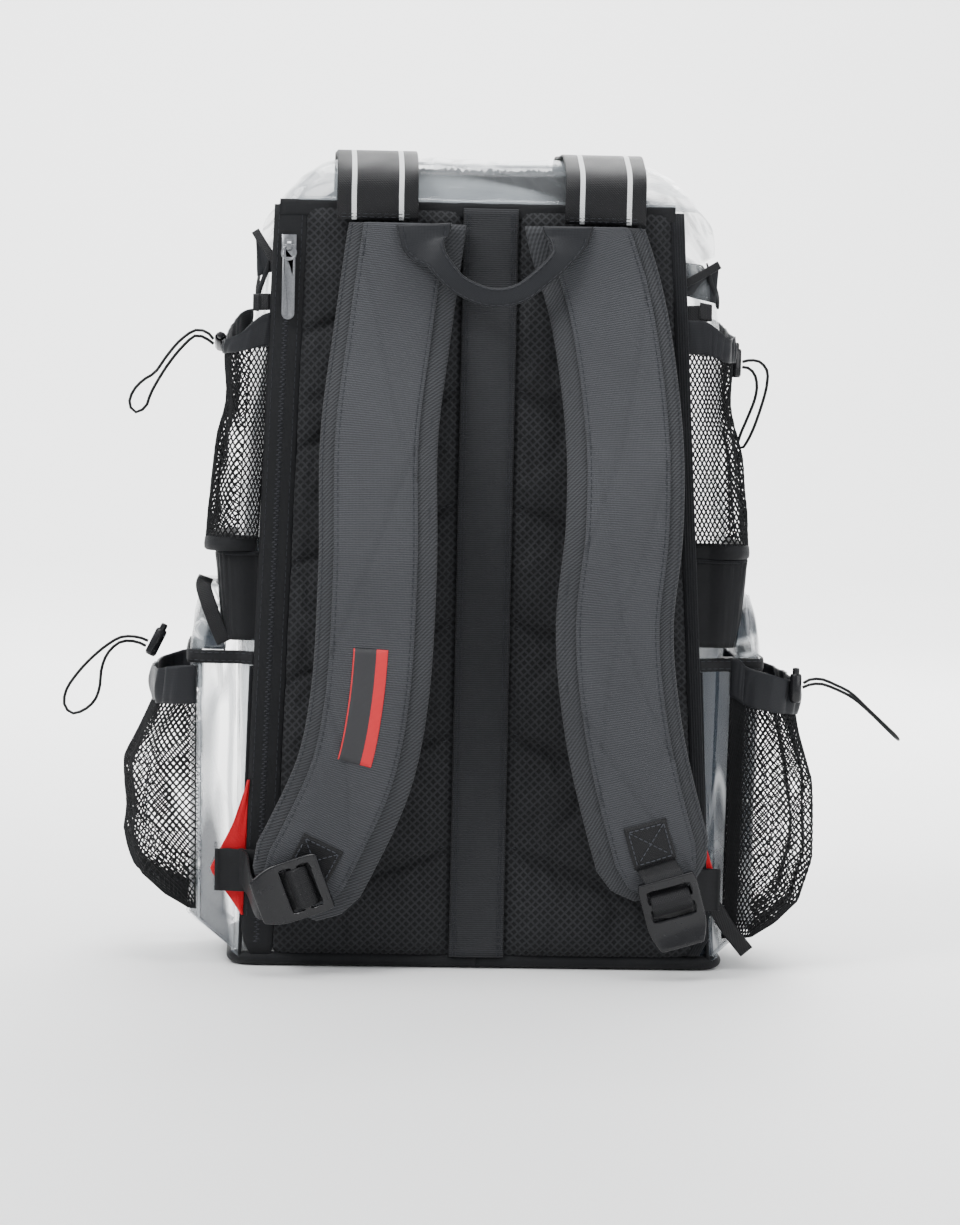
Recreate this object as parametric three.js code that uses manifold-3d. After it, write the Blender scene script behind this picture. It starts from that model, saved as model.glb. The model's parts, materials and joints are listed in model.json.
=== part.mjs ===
// Clear stadium backpack, seen from the harness side: quilted back panel, two padded shoulder straps,
// clear vinyl body and lid, black waist band, and on each side two net pockets and a clear zipped pocket.
// Millimetres, +Z up. The back panel faces -Y. The origin is on the floor under the middle of the body.
import * as THREE from "three";
import { mergeVertices } from "three/addons/utils/BufferGeometryUtils.js";
import Module from "manifold-3d";

// Clearance between pieces that lie against each other
const CLEARANCE = 0.3;

// Body
const PANEL_TOP = 473;
const BODY_DEPTH = 148;
const BODY_FRONT_TOP = 52;
const PANEL_PLANE = -70;
const BODY_WIDTH_BASE = 300;
const BODY_WIDTH_WAIST = 306;
const BODY_WIDTH_SHOULDER = 290;
const BODY_WIDTH_MOUTH = 277;
const WAIST_HEIGHT = 258;
const SHOULDER_HEIGHT = 400;
const REAR_CORNER = 12;
const FRONT_CORNER = 42;
const VINYL = 1.2;
const SEAM_LAP = 14;
const BASE_HEIGHT = 7;
const BASE_LIP = 2;
const BASE_ROUNDING = 2;
const VINYL_FOLD = 1.6;

// Back panel, spine strip and zip
const PANEL_LEFT_TOP = 114;
const PANEL_LEFT_BOTTOM = 128;
const PANEL_RIGHT_TOP = 112;
const PANEL_RIGHT_BOTTOM = 140;
const PANEL_CORNER = 22;
const GROOVE_THICKNESS = 4;
const PAD_PUFF = 6;
const CHEVRON_COUNT = 6;
const CHEVRON_FIRST = 82;
const CHEVRON_SPACING = 71;
const CHEVRON_SLOPE = 0.38;
const GROOVE_WIDTH = 7;
const SPINE_WIDTH = 34;
const SPINE_THICKNESS = 3;
const ZIP_TAPE_WIDTH = 18;
const ZIP_TAPE_THICKNESS = 4;
const SLIDER_HEIGHT = 447;
const SLIDER_LENGTH = 14;
const SLIDER_WIDTH = 9;
const SLIDER_THICKNESS = 3;
const BRIDGE_WIDTH = 3;
const BRIDGE_WALL = 1.4;
const PULL_WIDTH = 8;
const PULL_LENGTH = 46;
const PULL_THICKNESS = 1.6;
const PULL_EYE = 6;

// Waist band and the mouth
const BAND_BOTTOM = 203;
const BAND_WALL = 1.5;
const BAND_FLARE_SIDE = 10;
const BAND_FLARE_FRONT = 2;
const MOUTH_REAR = 423;
const MOUTH_FRONT = 445;
const RIM_TAPE_HEIGHT = 10;
const RIM_TAPE_WALL = 1.4;
const COLLAR_BOTTOM = 425;
const COLLAR_WALL = 2;
const COLLAR_CORNER = 18;
const COLLAR_INSET = 15.5;
const COLLAR_FRONT_INSET = 6;
const COLLAR_THROAT_WIDTH = 130;
const COLLAR_DRAW_REAR = 34;
const COLLAR_DRAW_FRONT = 40;
const LID_RISE = 32;
const LID_TOP = PANEL_TOP + LID_RISE;
const COLLAR_BELOW_LID = 8;
const COLLAR_TOP = LID_TOP - COLLAR_BELOW_LID;
const LID_SIDE = 446;
const LID_FRONT = 424;
const LID_CORNER = 25;
const LID_ROUNDING = 30;
const LID_DIP = 4;
const TAB_HEIGHT = 16;
const TAB_REACH = { left: 11, right: 22 };
const TAB_THICKNESS = 4;

// Harness
const STRAP_WIDTH = 72;
const STRAP_PAD = 8;
const STRAP_FACE_WIDTH = 51;
const STRAP_FACE = 1.5;
const STRAP_TOP = 462;
const STRAP_BOTTOM = { left: 42, right: 54 };
const STRAP_SPREAD = 120;
const STRAP_BOW = 42;
const FACE_SHIFT = 1.5;
const PATCH_SIZE = 27;
const PATCH_FOOT = 21.5;
const PATCH_THICKNESS = 1.2;
const LABEL_WIDTH = 21;
const LABEL_LENGTH = 71;
const LABEL_DOWN = 264;
const LABEL_SHIFT = 2;
const LOCK_WIDTH = 37;
const LOCK_LENGTH = 45;
const LOCK_TOP_CUT = 3;
const LOCK_LIP_RISE = 12;
const LOCK_LIP_DRAW = 2;
const LOCK_THICKNESS = 4;
const LOCK_SLOT_WIDTH = 27;
const LOCK_SLOT_HEIGHT = 8;
const LOCK_TOP_BAR = 6;
const LOCK_BAR = 4;
const LOWER_WEB_WIDTH = 25;
const LOWER_WEB = 1.5;
const WEB_RUN = { left: 8, right: 14 };
const WEB_SEAT = { left: 0.34, right: 0.24 };
const GUSSET_HEIGHT = 86;
const GUSSET_REACH = { left: 22, right: 12 };
const GUSSET_THICKNESS = 1.5;
const GUSSET_BOTTOM = 31;
const HAUL_WIDTH = 12;
const HAUL_ANCHOR_WIDTH = 34;
const HAUL_THICKNESS = 3;
const HAUL_SPAN = 91;
const HAUL_DROP = 44;
const HAUL_STAND = 9;
const TOP_WEB_WIDTH = 50;
const TOP_WEB = 1.6;
const TOP_WEB_PLACE = 70;
const TOP_WEB_START = 464;
const TOP_WEB_SEAM = 12;
const TOP_WEB_TURN = 18;
const TOP_WEB_END = 270;
const TOP_WEB_BELOW_LID = 30;
const BUCKLE_WIDTH = 62;
const BUCKLE_HEIGHT = 44;
const BUCKLE_THICKNESS = 7;
const BUCKLE_PLACE = 330;
const BUCKLE_TAPER = 4;
const BUCKLE_BEVEL = 1;

// Upper net pockets
const NET = 1.4;
const UPPER_NET_TOP = 385;
const UPPER_FLOOR_HEIGHT = 10;
const UPPER_BAND_HEIGHT = 22;
const UPPER_BULGE = { left: 15, right: 11 };
const UPPER_MOUTH_BULGE = { left: 14, right: 6 };
const UPPER_NET_PINCH = 5;
const UPPER_NET_START = 1.55;
const UPPER_NET_END = 2.82;
const UPPER_PLEAT = 1.2;
const UPPER_GATHER = 0.8;

// Lower clear pockets and the net pockets on them
const POCKET_BOTTOM = 9;
const POCKET_TOP = 196;
const POCKET_DROP = 22;
const POCKET_REACH = { left: 29, right: 24 };
const POCKET_REAR = -65;
const POCKET_FRONT = 42;
const POCKET_CORNER = 11;
const POCKET_TAPE_HEIGHT = 8;
const POCKET_TAPE = 1.2;
const POCKET_LID_BELOW_WAIST = 22;
const LOWER_NET_BOTTOM = { left: 34, right: 20 };
const LOWER_NET_TOP = 162;
const LOWER_BAND_HEIGHT = 25;
const LOWER_BULGE = { left: 40, right: 34 };
const LOWER_MOUTH_BULGE = { left: 22, right: 22 };
const LOWER_NET_START = { left: 1.4, right: 0.35 };
const LOWER_NET_END = 3.7;
const LOWER_PLEAT = 1.6;
const LOWER_GATHER = 1.2;

// Cord locks and cords
const CORD_LOCK_DIAMETER = 7.6;
const CORD_LOCK_LENGTH = 18;
const CORD_LOCK_BORE = 5.4;
const CORD_LOCK_CHAMFER = 1;
const PLUNGER_DIAMETER = 4.6;
const PLUNGER_STAND = 4;
const PLUNGER_TRAVEL = 3;
const CORD_DIAMETER = 2;

// Each cord's route, in millimetres, chosen by hand: out from the lock, round its loop and back
const CORD_ROUTES = {
  upper_left: [
    [-170, -38, 388.4], [-174, -38.4, 392.6], [-181, -39, 393.8], [-190.5, -40, 387.4], [-199.5, -41, 376.4],
    [-206, -42, 367], [-214, -42, 361.5], [-220, -42, 354], [-221.5, -42, 346.5], [-217.5, -42, 342],
    [-211.5, -42, 345.5], [-208.6, -42, 353.4], [-203.6, -41, 363], [-197.2, -40, 373.2],
    [-188.6, -39, 384], [-181, -38, 390.4], [-175.4, -37.4, 389.2], [-169.8, -37, 385.4],
  ],
  upper_right: [
    [161.8, -38.8, 380.8], [167, -39, 382], [173, -40, 381], [177.4, -41, 375.5], [177.6, -41, 368],
    [176.4, -41, 361], [170, -41, 340], [165.5, -40, 330], [162.4, -39, 326], [160.4, -38, 328.6],
    [162.2, -38, 336], [165, -38, 343], [170.4, -39, 358], [171.4, -39, 366], [170, -39, 372.6],
    [166.4, -38.8, 376.8], [161.8, -38.8, 377.6],
  ],
  lower_left: [
    [-208.2, -24.4, 197.6], [-212, -24.6, 199.2], [-217, -25, 200.2], [-225, -26, 199.9], [-233, -27, 195.4],
    [-243, -28, 187], [-252, -29, 177], [-259, -30, 166], [-260, -30, 157], [-255.5, -30, 151.6],
    [-248, -30, 153.6], [-241, -29, 160], [-238, -29, 169], [-237.4, -28, 178], [-235, -27, 186.6],
    [-230.6, -26, 193], [-224.6, -25, 197], [-217.4, -24, 197.2], [-213, -23.8, 196], [-209.5, -23.8, 194.3],
  ],
  lower_right: [
    [201.8, -69.4, 181.6], [206, -70, 184], [213, -71, 184.4], [222, -72, 181], [231, -73, 176.6],
    [242, -76, 166.6], [252, -79, 157.4], [259.6, -79, 150.4], [262, -74, 147.6], [261, -68, 148.4],
    [255, -66, 154], [244, -68, 164.2], [233, -70.2, 173], [223, -69.8, 178], [213.4, -68.6, 181.2],
    [207, -67.6, 180.8], [201.6, -67, 178.6],
  ],
};

const wasm = await Module();
wasm.setup();

const COLOURS = {
  mesh_black: [0x17181a, 0.95, 0],
  ribbed: [0x34363a, 0.85, 0],
  fabric: [0x1b1c1f, 0.85, 0],
  webbing: [0x141416, 0.55, 0],
  vinyl: [0xd9e2e6, 0.08, 0],
  net: [0x121214, 0.9, 0],
  red: [0xc8151b, 0.8, 0],
  plastic: [0x0d0d0f, 0.25, 0],
  metal: [0x6f7276, 0.35, 1],
  cord: [0x151517, 0.8, 0],
};

function material(kind) {
  const [color, roughness, metalness] = COLOURS[kind];
  return new THREE.MeshStandardMaterial({ color, roughness, metalness });
}

const part = new THREE.Group();

function addMesh(name, geometry, kind) {
  const mesh = new THREE.Mesh(geometry, material(kind));
  mesh.name = name;
  part.add(mesh);
  return mesh;
}

const mix = (a, b, t) => a + (b - a) * t;
const clamp01 = (t) => Math.min(1, Math.max(0, t));
const smooth = (t) => clamp01(t) * clamp01(t) * (3 - 2 * clamp01(t));
const signOf = { left: -1, right: 1 };
const SIDES = ["left", "right"];

function steps(count, from = 0, to = 1) {
  return Array.from({ length: count + 1 }, (_, i) => mix(from, to, i / count));
}

// Value of a table of [place, value] rows at one place, straight between rows
function along(table, place) {
  const after = table.findIndex(([at]) => at >= place);
  if (after < 0) return table[table.length - 1][1];
  if (after === 0) return table[0][1];
  const [[a, va], [b, vb]] = [table[after - 1], table[after]];
  return mix(va, vb, (place - a) / (b - a));
}

// Closed geometry from points and triangles, turned so that its faces look out
function closedGeometry(points, triangles) {
  let volume = 0;
  for (const [a, b, c] of triangles) {
    volume += points[a].dot(new THREE.Vector3().crossVectors(points[b], points[c]));
  }
  const turned = volume < 0 ? triangles.map(([a, b, c]) => [a, c, b]) : triangles;
  const geometry = new THREE.BufferGeometry().setFromPoints(points);
  geometry.setIndex(turned.flat());
  geometry.computeVertexNormals();
  return geometry;
}

// Two grids of the same size, joined round their edges into one closed wall
function wallBetween(front, back) {
  const rows = front.length;
  const columns = front[0].length;
  const points = [...front.flat(), ...back.flat()];
  const at = (side, i, j) => side * rows * columns + i * columns + j;
  const triangles = [];
  const quad = (a, b, c, d) => triangles.push([a, b, c], [a, c, d]);
  for (let i = 0; i < rows - 1; i++) {
    for (let j = 0; j < columns - 1; j++) {
      quad(at(0, i, j), at(0, i, j + 1), at(0, i + 1, j + 1), at(0, i + 1, j));
      quad(at(1, i, j), at(1, i + 1, j), at(1, i + 1, j + 1), at(1, i, j + 1));
    }
  }
  for (let j = 0; j < columns - 1; j++) {
    quad(at(0, 0, j), at(1, 0, j), at(1, 0, j + 1), at(0, 0, j + 1));
    quad(at(0, rows - 1, j + 1), at(1, rows - 1, j + 1), at(1, rows - 1, j), at(0, rows - 1, j));
  }
  for (let i = 0; i < rows - 1; i++) {
    quad(at(0, i + 1, 0), at(1, i + 1, 0), at(1, i, 0), at(0, i, 0));
    quad(at(0, i, columns - 1), at(1, i, columns - 1), at(1, i + 1, columns - 1), at(0, i + 1, columns - 1));
  }
  return closedGeometry(points, triangles);
}

// Rings of equal count joined in order. The first and last are capped, or joined to each other.
function ringLoft(rings, joined = false) {
  const count = rings[0].length;
  const points = rings.flat();
  const triangles = [];
  const last = joined ? rings.length : rings.length - 1;
  for (let i = 0; i < last; i++) {
    const next = (i + 1) % rings.length;
    for (let j = 0; j < count; j++) {
      const k = (j + 1) % count;
      const corners = [i * count + j, i * count + k, next * count + k, next * count + j];
      triangles.push([corners[0], corners[1], corners[2]], [corners[0], corners[2], corners[3]]);
    }
  }
  if (!joined) {
    const start = (rings.length - 1) * count;
    const cap = (ring) => THREE.ShapeUtils.triangulateShape(flattened(ring), []);
    triangles.push(...cap(rings[0]));
    for (const [a, b, c] of cap(rings[rings.length - 1])) {
      triangles.push([start + a, start + b, start + c]);
    }
    fixCaps(triangles);
  }
  return closedGeometry(points, triangles);
}

// A ring's points in the plane that it lies in most nearly
function flattened(ring) {
  const normal = new THREE.Vector3();
  ring.forEach((p, i) => {
    const q = ring[(i + 1) % ring.length];
    normal.x += (p.y - q.y) * (p.z + q.z);
    normal.y += (p.z - q.z) * (p.x + q.x);
    normal.z += (p.x - q.x) * (p.y + q.y);
  });
  normal.normalize();
  const side = Math.abs(normal.z) > 0.6 ? new THREE.Vector3(1, 0, 0) : new THREE.Vector3(0, 0, 1);
  const across = new THREE.Vector3().crossVectors(normal, side).normalize();
  const up = new THREE.Vector3().crossVectors(normal, across);
  return ring.map((p) => new THREE.Vector2(p.dot(across), p.dot(up)));
}

// Turns triangles until each edge is used once in each direction, starting from the first triangle
function fixCaps(triangles) {
  const owners = new Map();
  const key = (a, b) => (a < b ? a + "_" + b : b + "_" + a);
  triangles.forEach((t, n) => {
    for (let e = 0; e < 3; e++) {
      const k = key(t[e], t[(e + 1) % 3]);
      if (!owners.has(k)) owners.set(k, []);
      owners.get(k).push(n);
    }
  });
  const seen = new Set([0]);
  const queue = [0];
  while (queue.length) {
    const n = queue.pop();
    const t = triangles[n];
    for (let e = 0; e < 3; e++) {
      const a = t[e];
      const b = t[(e + 1) % 3];
      for (const m of owners.get(key(a, b))) {
        if (seen.has(m)) continue;
        const u = triangles[m];
        const sameWay = [0, 1, 2].some((f) => u[f] === a && u[(f + 1) % 3] === b);
        if (sameWay) u.reverse();
        seen.add(m);
        queue.push(m);
      }
    }
  }
}

// Grid thickened away from its carrier. Its end rows keep level rims.
function cloth(grid, thickness, away) {
  const rows = grid.length;
  const columns = grid[0].length;
  const outer = grid.map((row, i) =>
    row.map((p, j) => {
      const du = new THREE.Vector3()
        .subVectors(row[Math.min(j + 1, columns - 1)], row[Math.max(j - 1, 0)]);
      const dv = new THREE.Vector3()
        .subVectors(grid[Math.min(i + 1, rows - 1)][j], grid[Math.max(i - 1, 0)][j]);
      const normal = new THREE.Vector3().crossVectors(du, dv);
      if (i === 0 || i === rows - 1) normal.z = 0;
      normal.normalize();
      if (normal.dot(away(p, i, j)) < 0) normal.negate();
      return p.clone().addScaledVector(normal, thickness);
    }),
  );
  return wallBetween(grid, outer);
}

// Flat strap along stations of { at, across, out, half, thick }
function strapSweep(stations, rounded = false) {
  const corners = rounded
    ? [[-1, 0.3], [-0.93, 1], [0.93, 1], [1, 0.3], [1, -0.3], [0.93, -1], [-0.93, -1], [-1, -0.3]]
    : [[-1, 1], [1, 1], [1, -1], [-1, -1]];
  return ringLoft(
    stations.map((s) =>
      corners.map(([u, v]) =>
        s.at.clone().addScaledVector(s.across, u * s.half).addScaledVector(s.out, (v * s.thick) / 2),
      ),
    ),
  );
}

// Stations of a web that runs in a plane of constant x, through rows of [y, z]
function webInPlane(x, rows, width, thickness) {
  const curve = new THREE.CatmullRomCurve3(
    rows.map(([y, z]) => new THREE.Vector3(x, y, z)), false, "centripetal");
  const count = Math.round(rows.length * 1.5);
  const across = new THREE.Vector3(1, 0, 0);
  return steps(count).map((t) => ({
    at: curve.getPoint(t),
    across,
    out: new THREE.Vector3().crossVectors(curve.getTangent(t), across).normalize(),
    half: width / 2,
    thick: thickness,
  }));
}

// Solid of manifold-3d made from a geometry, and back again
function toSolid(geometry) {
  const bare = geometry.index ? geometry.toNonIndexed() : geometry.clone();
  bare.deleteAttribute("normal");
  bare.deleteAttribute("uv");
  const merged = mergeVertices(bare, 1e-4);
  return new wasm.Manifold(
    new wasm.Mesh({
      numProp: 3,
      vertProperties: merged.attributes.position.array,
      triVerts: new Uint32Array(merged.index.array),
    }),
  );
}

function fromSolid(solid) {
  const mesh = solid.getMesh();
  const geometry = new THREE.BufferGeometry();
  const positions = new Float32Array(mesh.numVert * 3);
  for (let i = 0; i < mesh.numVert; i++) {
    positions.set(mesh.vertProperties.subarray(i * mesh.numProp, i * mesh.numProp + 3), i * 3);
  }
  geometry.setAttribute("position", new THREE.BufferAttribute(positions, 3));
  geometry.setIndex(new THREE.BufferAttribute(mesh.triVerts, 1));
  geometry.computeVertexNormals();
  return geometry;
}

// Half-width of the clear body at a height
function bodyHalf(z) {
  return along([
    [0, BODY_WIDTH_BASE / 2],
    [WAIST_HEIGHT, BODY_WIDTH_WAIST / 2],
    [SHOULDER_HEIGHT, BODY_WIDTH_SHOULDER / 2],
    [MOUTH_FRONT, BODY_WIDTH_MOUTH / 2],
  ], z);
}

function bodyFront(z) {
  const full = PANEL_PLANE + BODY_DEPTH;
  return along([[0, full], [WAIST_HEIGHT, full], [MOUTH_FRONT, BODY_FRONT_TOP]], z);
}

// Half-width of the quilted panel at a height, without the zip tape
function panelHalf(side, z) {
  const [low, high] = side === "left"
    ? [PANEL_LEFT_BOTTOM, PANEL_LEFT_TOP]
    : [PANEL_RIGHT_BOTTOM, PANEL_RIGHT_TOP];
  return mix(low, high, z / PANEL_TOP);
}

// Point on the body's outline at a height. The outline runs from the left rear flange (0) round the front
// to the right rear flange (9): flange, rear corner, side, front corner, front, and the same again.
function bodyPoint(s, z, offset = 0) {
  const right = s > 4.5;
  const place = right ? 9 - s : s;
  const piece = Math.min(Math.floor(place), 4);
  const f = place - piece;
  const half = bodyHalf(z);
  const rear = PANEL_PLANE + CLEARANCE;
  const front = bodyFront(z);
  let x;
  let y;
  let nx = 0;
  let ny = -1;
  if (piece === 0) {
    x = -mix(panelHalf(right ? "right" : "left", z) - SEAM_LAP, half - REAR_CORNER, f);
    y = rear;
  } else if (piece === 1) {
    const a = (-Math.PI / 2) * (1 + f);
    [nx, ny] = [Math.cos(a), Math.sin(a)];
    x = -(half - REAR_CORNER) + REAR_CORNER * nx;
    y = rear + REAR_CORNER + REAR_CORNER * ny;
  } else if (piece === 2) {
    [nx, ny] = [-1, 0];
    x = -half;
    y = mix(rear + REAR_CORNER, front - FRONT_CORNER, f);
  } else if (piece === 3) {
    const a = Math.PI * (1 - f / 2);
    [nx, ny] = [Math.cos(a), Math.sin(a)];
    x = -(half - FRONT_CORNER) + FRONT_CORNER * nx;
    y = front - FRONT_CORNER + FRONT_CORNER * ny;
  } else {
    [nx, ny] = [0, 1];
    x = -(half - FRONT_CORNER) * (1 - 2 * f);
    y = front;
  }
  const mirror = right ? -1 : 1;
  return new THREE.Vector3(mirror * (x + nx * offset), y + ny * offset, z);
}

// Places round the body with more of them in the corners
const ROUND_BODY = [0, 1, 1.4, 1.7, 2, 2.35, 2.7, 3, 3.33, 3.67, 4, 4.25, 4.5,
  4.75, 5, 5.33, 5.67, 6, 6.3, 6.65, 7, 7.3, 7.6, 8, 9];

// Height of the mouth at a place round the body: low at the rear corners, high at the front
function mouthHeight(s) {
  const place = s > 4.5 ? 9 - s : s;
  return along([[0, PANEL_TOP - 6], [1, PANEL_TOP - 6], [1.7, MOUTH_REAR], [3, mix(MOUTH_REAR, MOUTH_FRONT, 0.8)],
    [4, MOUTH_FRONT]], place);
}

// Shallow folds of the vinyl, as an offset into the body
function vinylFold(s, z) {
  return VINYL_FOLD * Math.abs(Math.sin(s * 7.3 + z / 37)) * smooth((s - 2) * 2) * smooth((7 - s) * 2);
}

function clearBody() {
  const low = BASE_HEIGHT + CLEARANCE;
  const grid = (inset) =>
    steps(7).map((v) =>
      ROUND_BODY.map((s) => {
        const z = mix(low, mouthHeight(s), v);
        const fold = vinylFold(s, z) * Math.sin(Math.PI * v) * (z < BAND_BOTTOM || z > WAIST_HEIGHT ? 1 : 0);
        return bodyPoint(s, z, -fold - inset);
      }),
    );
  addMesh("clear_body", wallBetween(grid(0), grid(VINYL)), "vinyl");
}

function bagBase() {
  const outline = (inset, z) => {
    const across = ROUND_BODY.filter((s) => s >= 1 && s <= 8);
    return across.map((s) => bodyPoint(s, 0, BASE_LIP - inset).setZ(z));
  };
  addMesh("bag_base",
    ringLoft([outline(BASE_ROUNDING, 0), outline(0, BASE_ROUNDING), outline(0, BASE_HEIGHT)]), "fabric");
}

// Quilted panel: pads between chevron grooves, and a flat channel for the spine strip
function backPanel() {
  const bottom = BASE_HEIGHT + CLEARANCE;
  const channel = SPINE_WIDTH / 2 + 1;
  const grooves = Array.from({ length: CHEVRON_COUNT }, (_, i) => CHEVRON_FIRST + i * CHEVRON_SPACING);
  const rows = [{ z: bottom, straight: 1, edge: true }];
  const padRows = (low, high, straightLow, straightHigh) => {
    for (const t of [0.16, 0.84]) {
      rows.push({ z: mix(low, high, t), straight: mix(straightLow, straightHigh, t), edge: false });
    }
  };
  grooves.forEach((groove, i) => {
    padRows(i ? grooves[i - 1] + GROOVE_WIDTH / 2 : bottom, groove - GROOVE_WIDTH / 2, i ? 0 : 1, 0);
    rows.push({ z: groove - GROOVE_WIDTH / 2, straight: 0, edge: true });
    rows.push({ z: groove + GROOVE_WIDTH / 2, straight: 0, edge: true });
  });
  padRows(grooves[CHEVRON_COUNT - 1] + GROOVE_WIDTH / 2, PANEL_TOP, 0, 1);
  rows.push({ z: PANEL_TOP, straight: 1, edge: true });

  const half = [1, 0.93, 0.6, 0.3, 0.06, 0];
  const columns = [
    ...half.map((share) => ({ share, side: "left" })),
    ...half.slice().reverse().map((share) => ({ share, side: "right" })),
  ];
  const place = ({ z, straight, edge }, { share, side }) => {
    const lowered = (x) => Math.max(z - (1 - straight) * CHEVRON_SLOPE * x, bottom);
    const nearHeight = lowered(mix(channel, panelHalf(side, z), share));
    const width = panelHalf(side, nearHeight) - cornerInset(nearHeight - bottom);
    const placed = mix(channel, width, share);
    const height = lowered(placed);
    const flat = edge || share === 0 || share === 1;
    const puff = flat ? 0 : PAD_PUFF * (share > 0.5 || share < 0.2 ? 0.85 : 1);
    return { x: signOf[side] * placed, z: height, y: PANEL_PLANE - GROOVE_THICKNESS - puff };
  };
  const surface = rows.map((row) => columns.map((column) => place(row, column)));
  const front = surface.map((row) => row.map((p) => new THREE.Vector3(p.x, p.y, p.z)));
  const back = surface.map((row) => row.map((p) => new THREE.Vector3(p.x, PANEL_PLANE, p.z)));
  addMesh("back_panel", wallBetween(front, back), "mesh_black");
}

// How far the panel's rounded bottom corner stands in at a height above its lower edge
function cornerInset(height) {
  if (height >= PANEL_CORNER) return 0;
  const down = PANEL_CORNER - height;
  return PANEL_CORNER - Math.sqrt(PANEL_CORNER ** 2 - down ** 2);
}

function spineStrip() {
  const low = BASE_HEIGHT + CLEARANCE;
  const strip = new THREE.BoxGeometry(SPINE_WIDTH, SPINE_THICKNESS, PANEL_TOP - low);
  const mesh = addMesh("spine_strip", strip, "ribbed");
  mesh.position.set(
    0, PANEL_PLANE - GROOVE_THICKNESS - CLEARANCE - SPINE_THICKNESS / 2, (PANEL_TOP + low) / 2);
}

// Zip tape down the panel's left edge
function zipTape() {
  const low = BASE_HEIGHT + CLEARANCE;
  const ring = (z) => {
    const inner = -panelHalf("left", z) - CLEARANCE;
    const outer = inner - ZIP_TAPE_WIDTH;
    const back = PANEL_PLANE - ZIP_TAPE_THICKNESS;
    return [[inner, PANEL_PLANE], [outer, PANEL_PLANE], [outer, back], [inner, back]]
      .map(([x, y]) => new THREE.Vector3(x, y, z));
  };
  addMesh("zip_tape", ringLoft([ring(low), ring(PANEL_TOP / 2), ring(PANEL_TOP)]), "fabric");
}

const sliderX = -panelHalf("left", SLIDER_HEIGHT) - CLEARANCE - ZIP_TAPE_WIDTH / 2;
const sliderFace = PANEL_PLANE - ZIP_TAPE_THICKNESS - CLEARANCE - SLIDER_THICKNESS;
const pullAxis = { y: sliderFace - 1.9, z: SLIDER_HEIGHT };

// Slider with a bridge, and a bare pull whose eye hangs on it
function zipSliderAndPull() {
  const body = new THREE.BoxGeometry(SLIDER_WIDTH, SLIDER_THICKNESS, SLIDER_LENGTH);
  body.translate(sliderX, sliderFace + SLIDER_THICKNESS / 2, SLIDER_HEIGHT);
  const room = PULL_THICKNESS / 2 + 0.7;
  const reach = room + BRIDGE_WALL;
  const arch = new THREE.Shape();
  const foot = sliderFace + 0.5;
  arch.moveTo(foot, SLIDER_HEIGHT - reach - 1);
  arch.lineTo(pullAxis.y - room, SLIDER_HEIGHT - reach);
  arch.lineTo(pullAxis.y - reach, SLIDER_HEIGHT - reach + BRIDGE_WALL);
  arch.lineTo(pullAxis.y - reach, SLIDER_HEIGHT + reach - BRIDGE_WALL);
  arch.lineTo(pullAxis.y - room, SLIDER_HEIGHT + reach);
  arch.lineTo(foot, SLIDER_HEIGHT + reach + 1);
  arch.closePath();
  const hole = new THREE.Path();
  hole.absellipse(pullAxis.y, SLIDER_HEIGHT, room, room, 0, Math.PI * 2);
  arch.holes.push(hole);
  const bridge = new THREE.ExtrudeGeometry(arch, { depth: BRIDGE_WIDTH, bevelEnabled: false, curveSegments: 6 });
  turnedToX(bridge, sliderX - BRIDGE_WIDTH / 2);
  addMesh("zip_slider", fromSolid(toSolid(body).add(toSolid(bridge))), "metal");

  const plate = new THREE.Shape();
  const top = PULL_THICKNESS / 2;
  const bottom = top - PULL_LENGTH;
  const w = PULL_WIDTH / 2;
  plate.moveTo(-w, top);
  plate.lineTo(w, top);
  plate.lineTo(w, bottom + w);
  plate.absarc(0, bottom + w, w, 0, -Math.PI, true);
  plate.closePath();
  const eye = new THREE.Path();
  const eyeHalf = BRIDGE_WIDTH / 2 + 0.5;
  const eyeTop = top - PULL_THICKNESS;
  eye.moveTo(-eyeHalf, eyeTop);
  eye.lineTo(-eyeHalf, eyeTop - PULL_EYE);
  eye.lineTo(eyeHalf, eyeTop - PULL_EYE);
  eye.lineTo(eyeHalf, eyeTop);
  eye.closePath();
  plate.holes.push(eye);
  const pull = new THREE.ExtrudeGeometry(plate, { depth: PULL_THICKNESS, bevelEnabled: false, curveSegments: 5 });
  pull.rotateX(Math.PI / 2);
  pull.translate(sliderX, pullAxis.y + PULL_THICKNESS / 2, pullAxis.z);
  addMesh("zip_pull", pull, "metal");
}

// Turns an outline drawn in (y, z) and extruded along its third axis, so that it runs along X
function turnedToX(geometry, start) {
  const turn = new THREE.Matrix4().set(0, 0, 1, start, 1, 0, 0, 0, 0, 1, 0, 0, 0, 0, 0, 1);
  geometry.applyMatrix4(turn);
}

// How far the waist band stands off the body at a place and height
function bandOffset(s, z) {
  const place = s > 4.5 ? 9 - s : s;
  const up = clamp01((z - BAND_BOTTOM) / (WAIST_HEIGHT - BAND_BOTTOM));
  const flare = mix(BAND_FLARE_SIDE, BAND_FLARE_FRONT, smooth(place - 3));
  return CLEARANCE + flare * up * smooth((place - 1) * 1.4);
}

function waistBand() {
  const places = ROUND_BODY.filter((s) => s >= 1 && s <= 8);
  const grid = steps(3).map((v) =>
    places.map((s) => {
      const z = mix(BAND_BOTTOM, WAIST_HEIGHT, v);
      return bodyPoint(s, z, bandOffset(s, z));
    }),
  );
  addMesh("waist_band", cloth(grid, BAND_WALL, outward), "fabric");
}

// Direction away from the bag's own middle line, level
function outward(p) {
  return new THREE.Vector3(p.x, p.y, 0);
}

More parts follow.
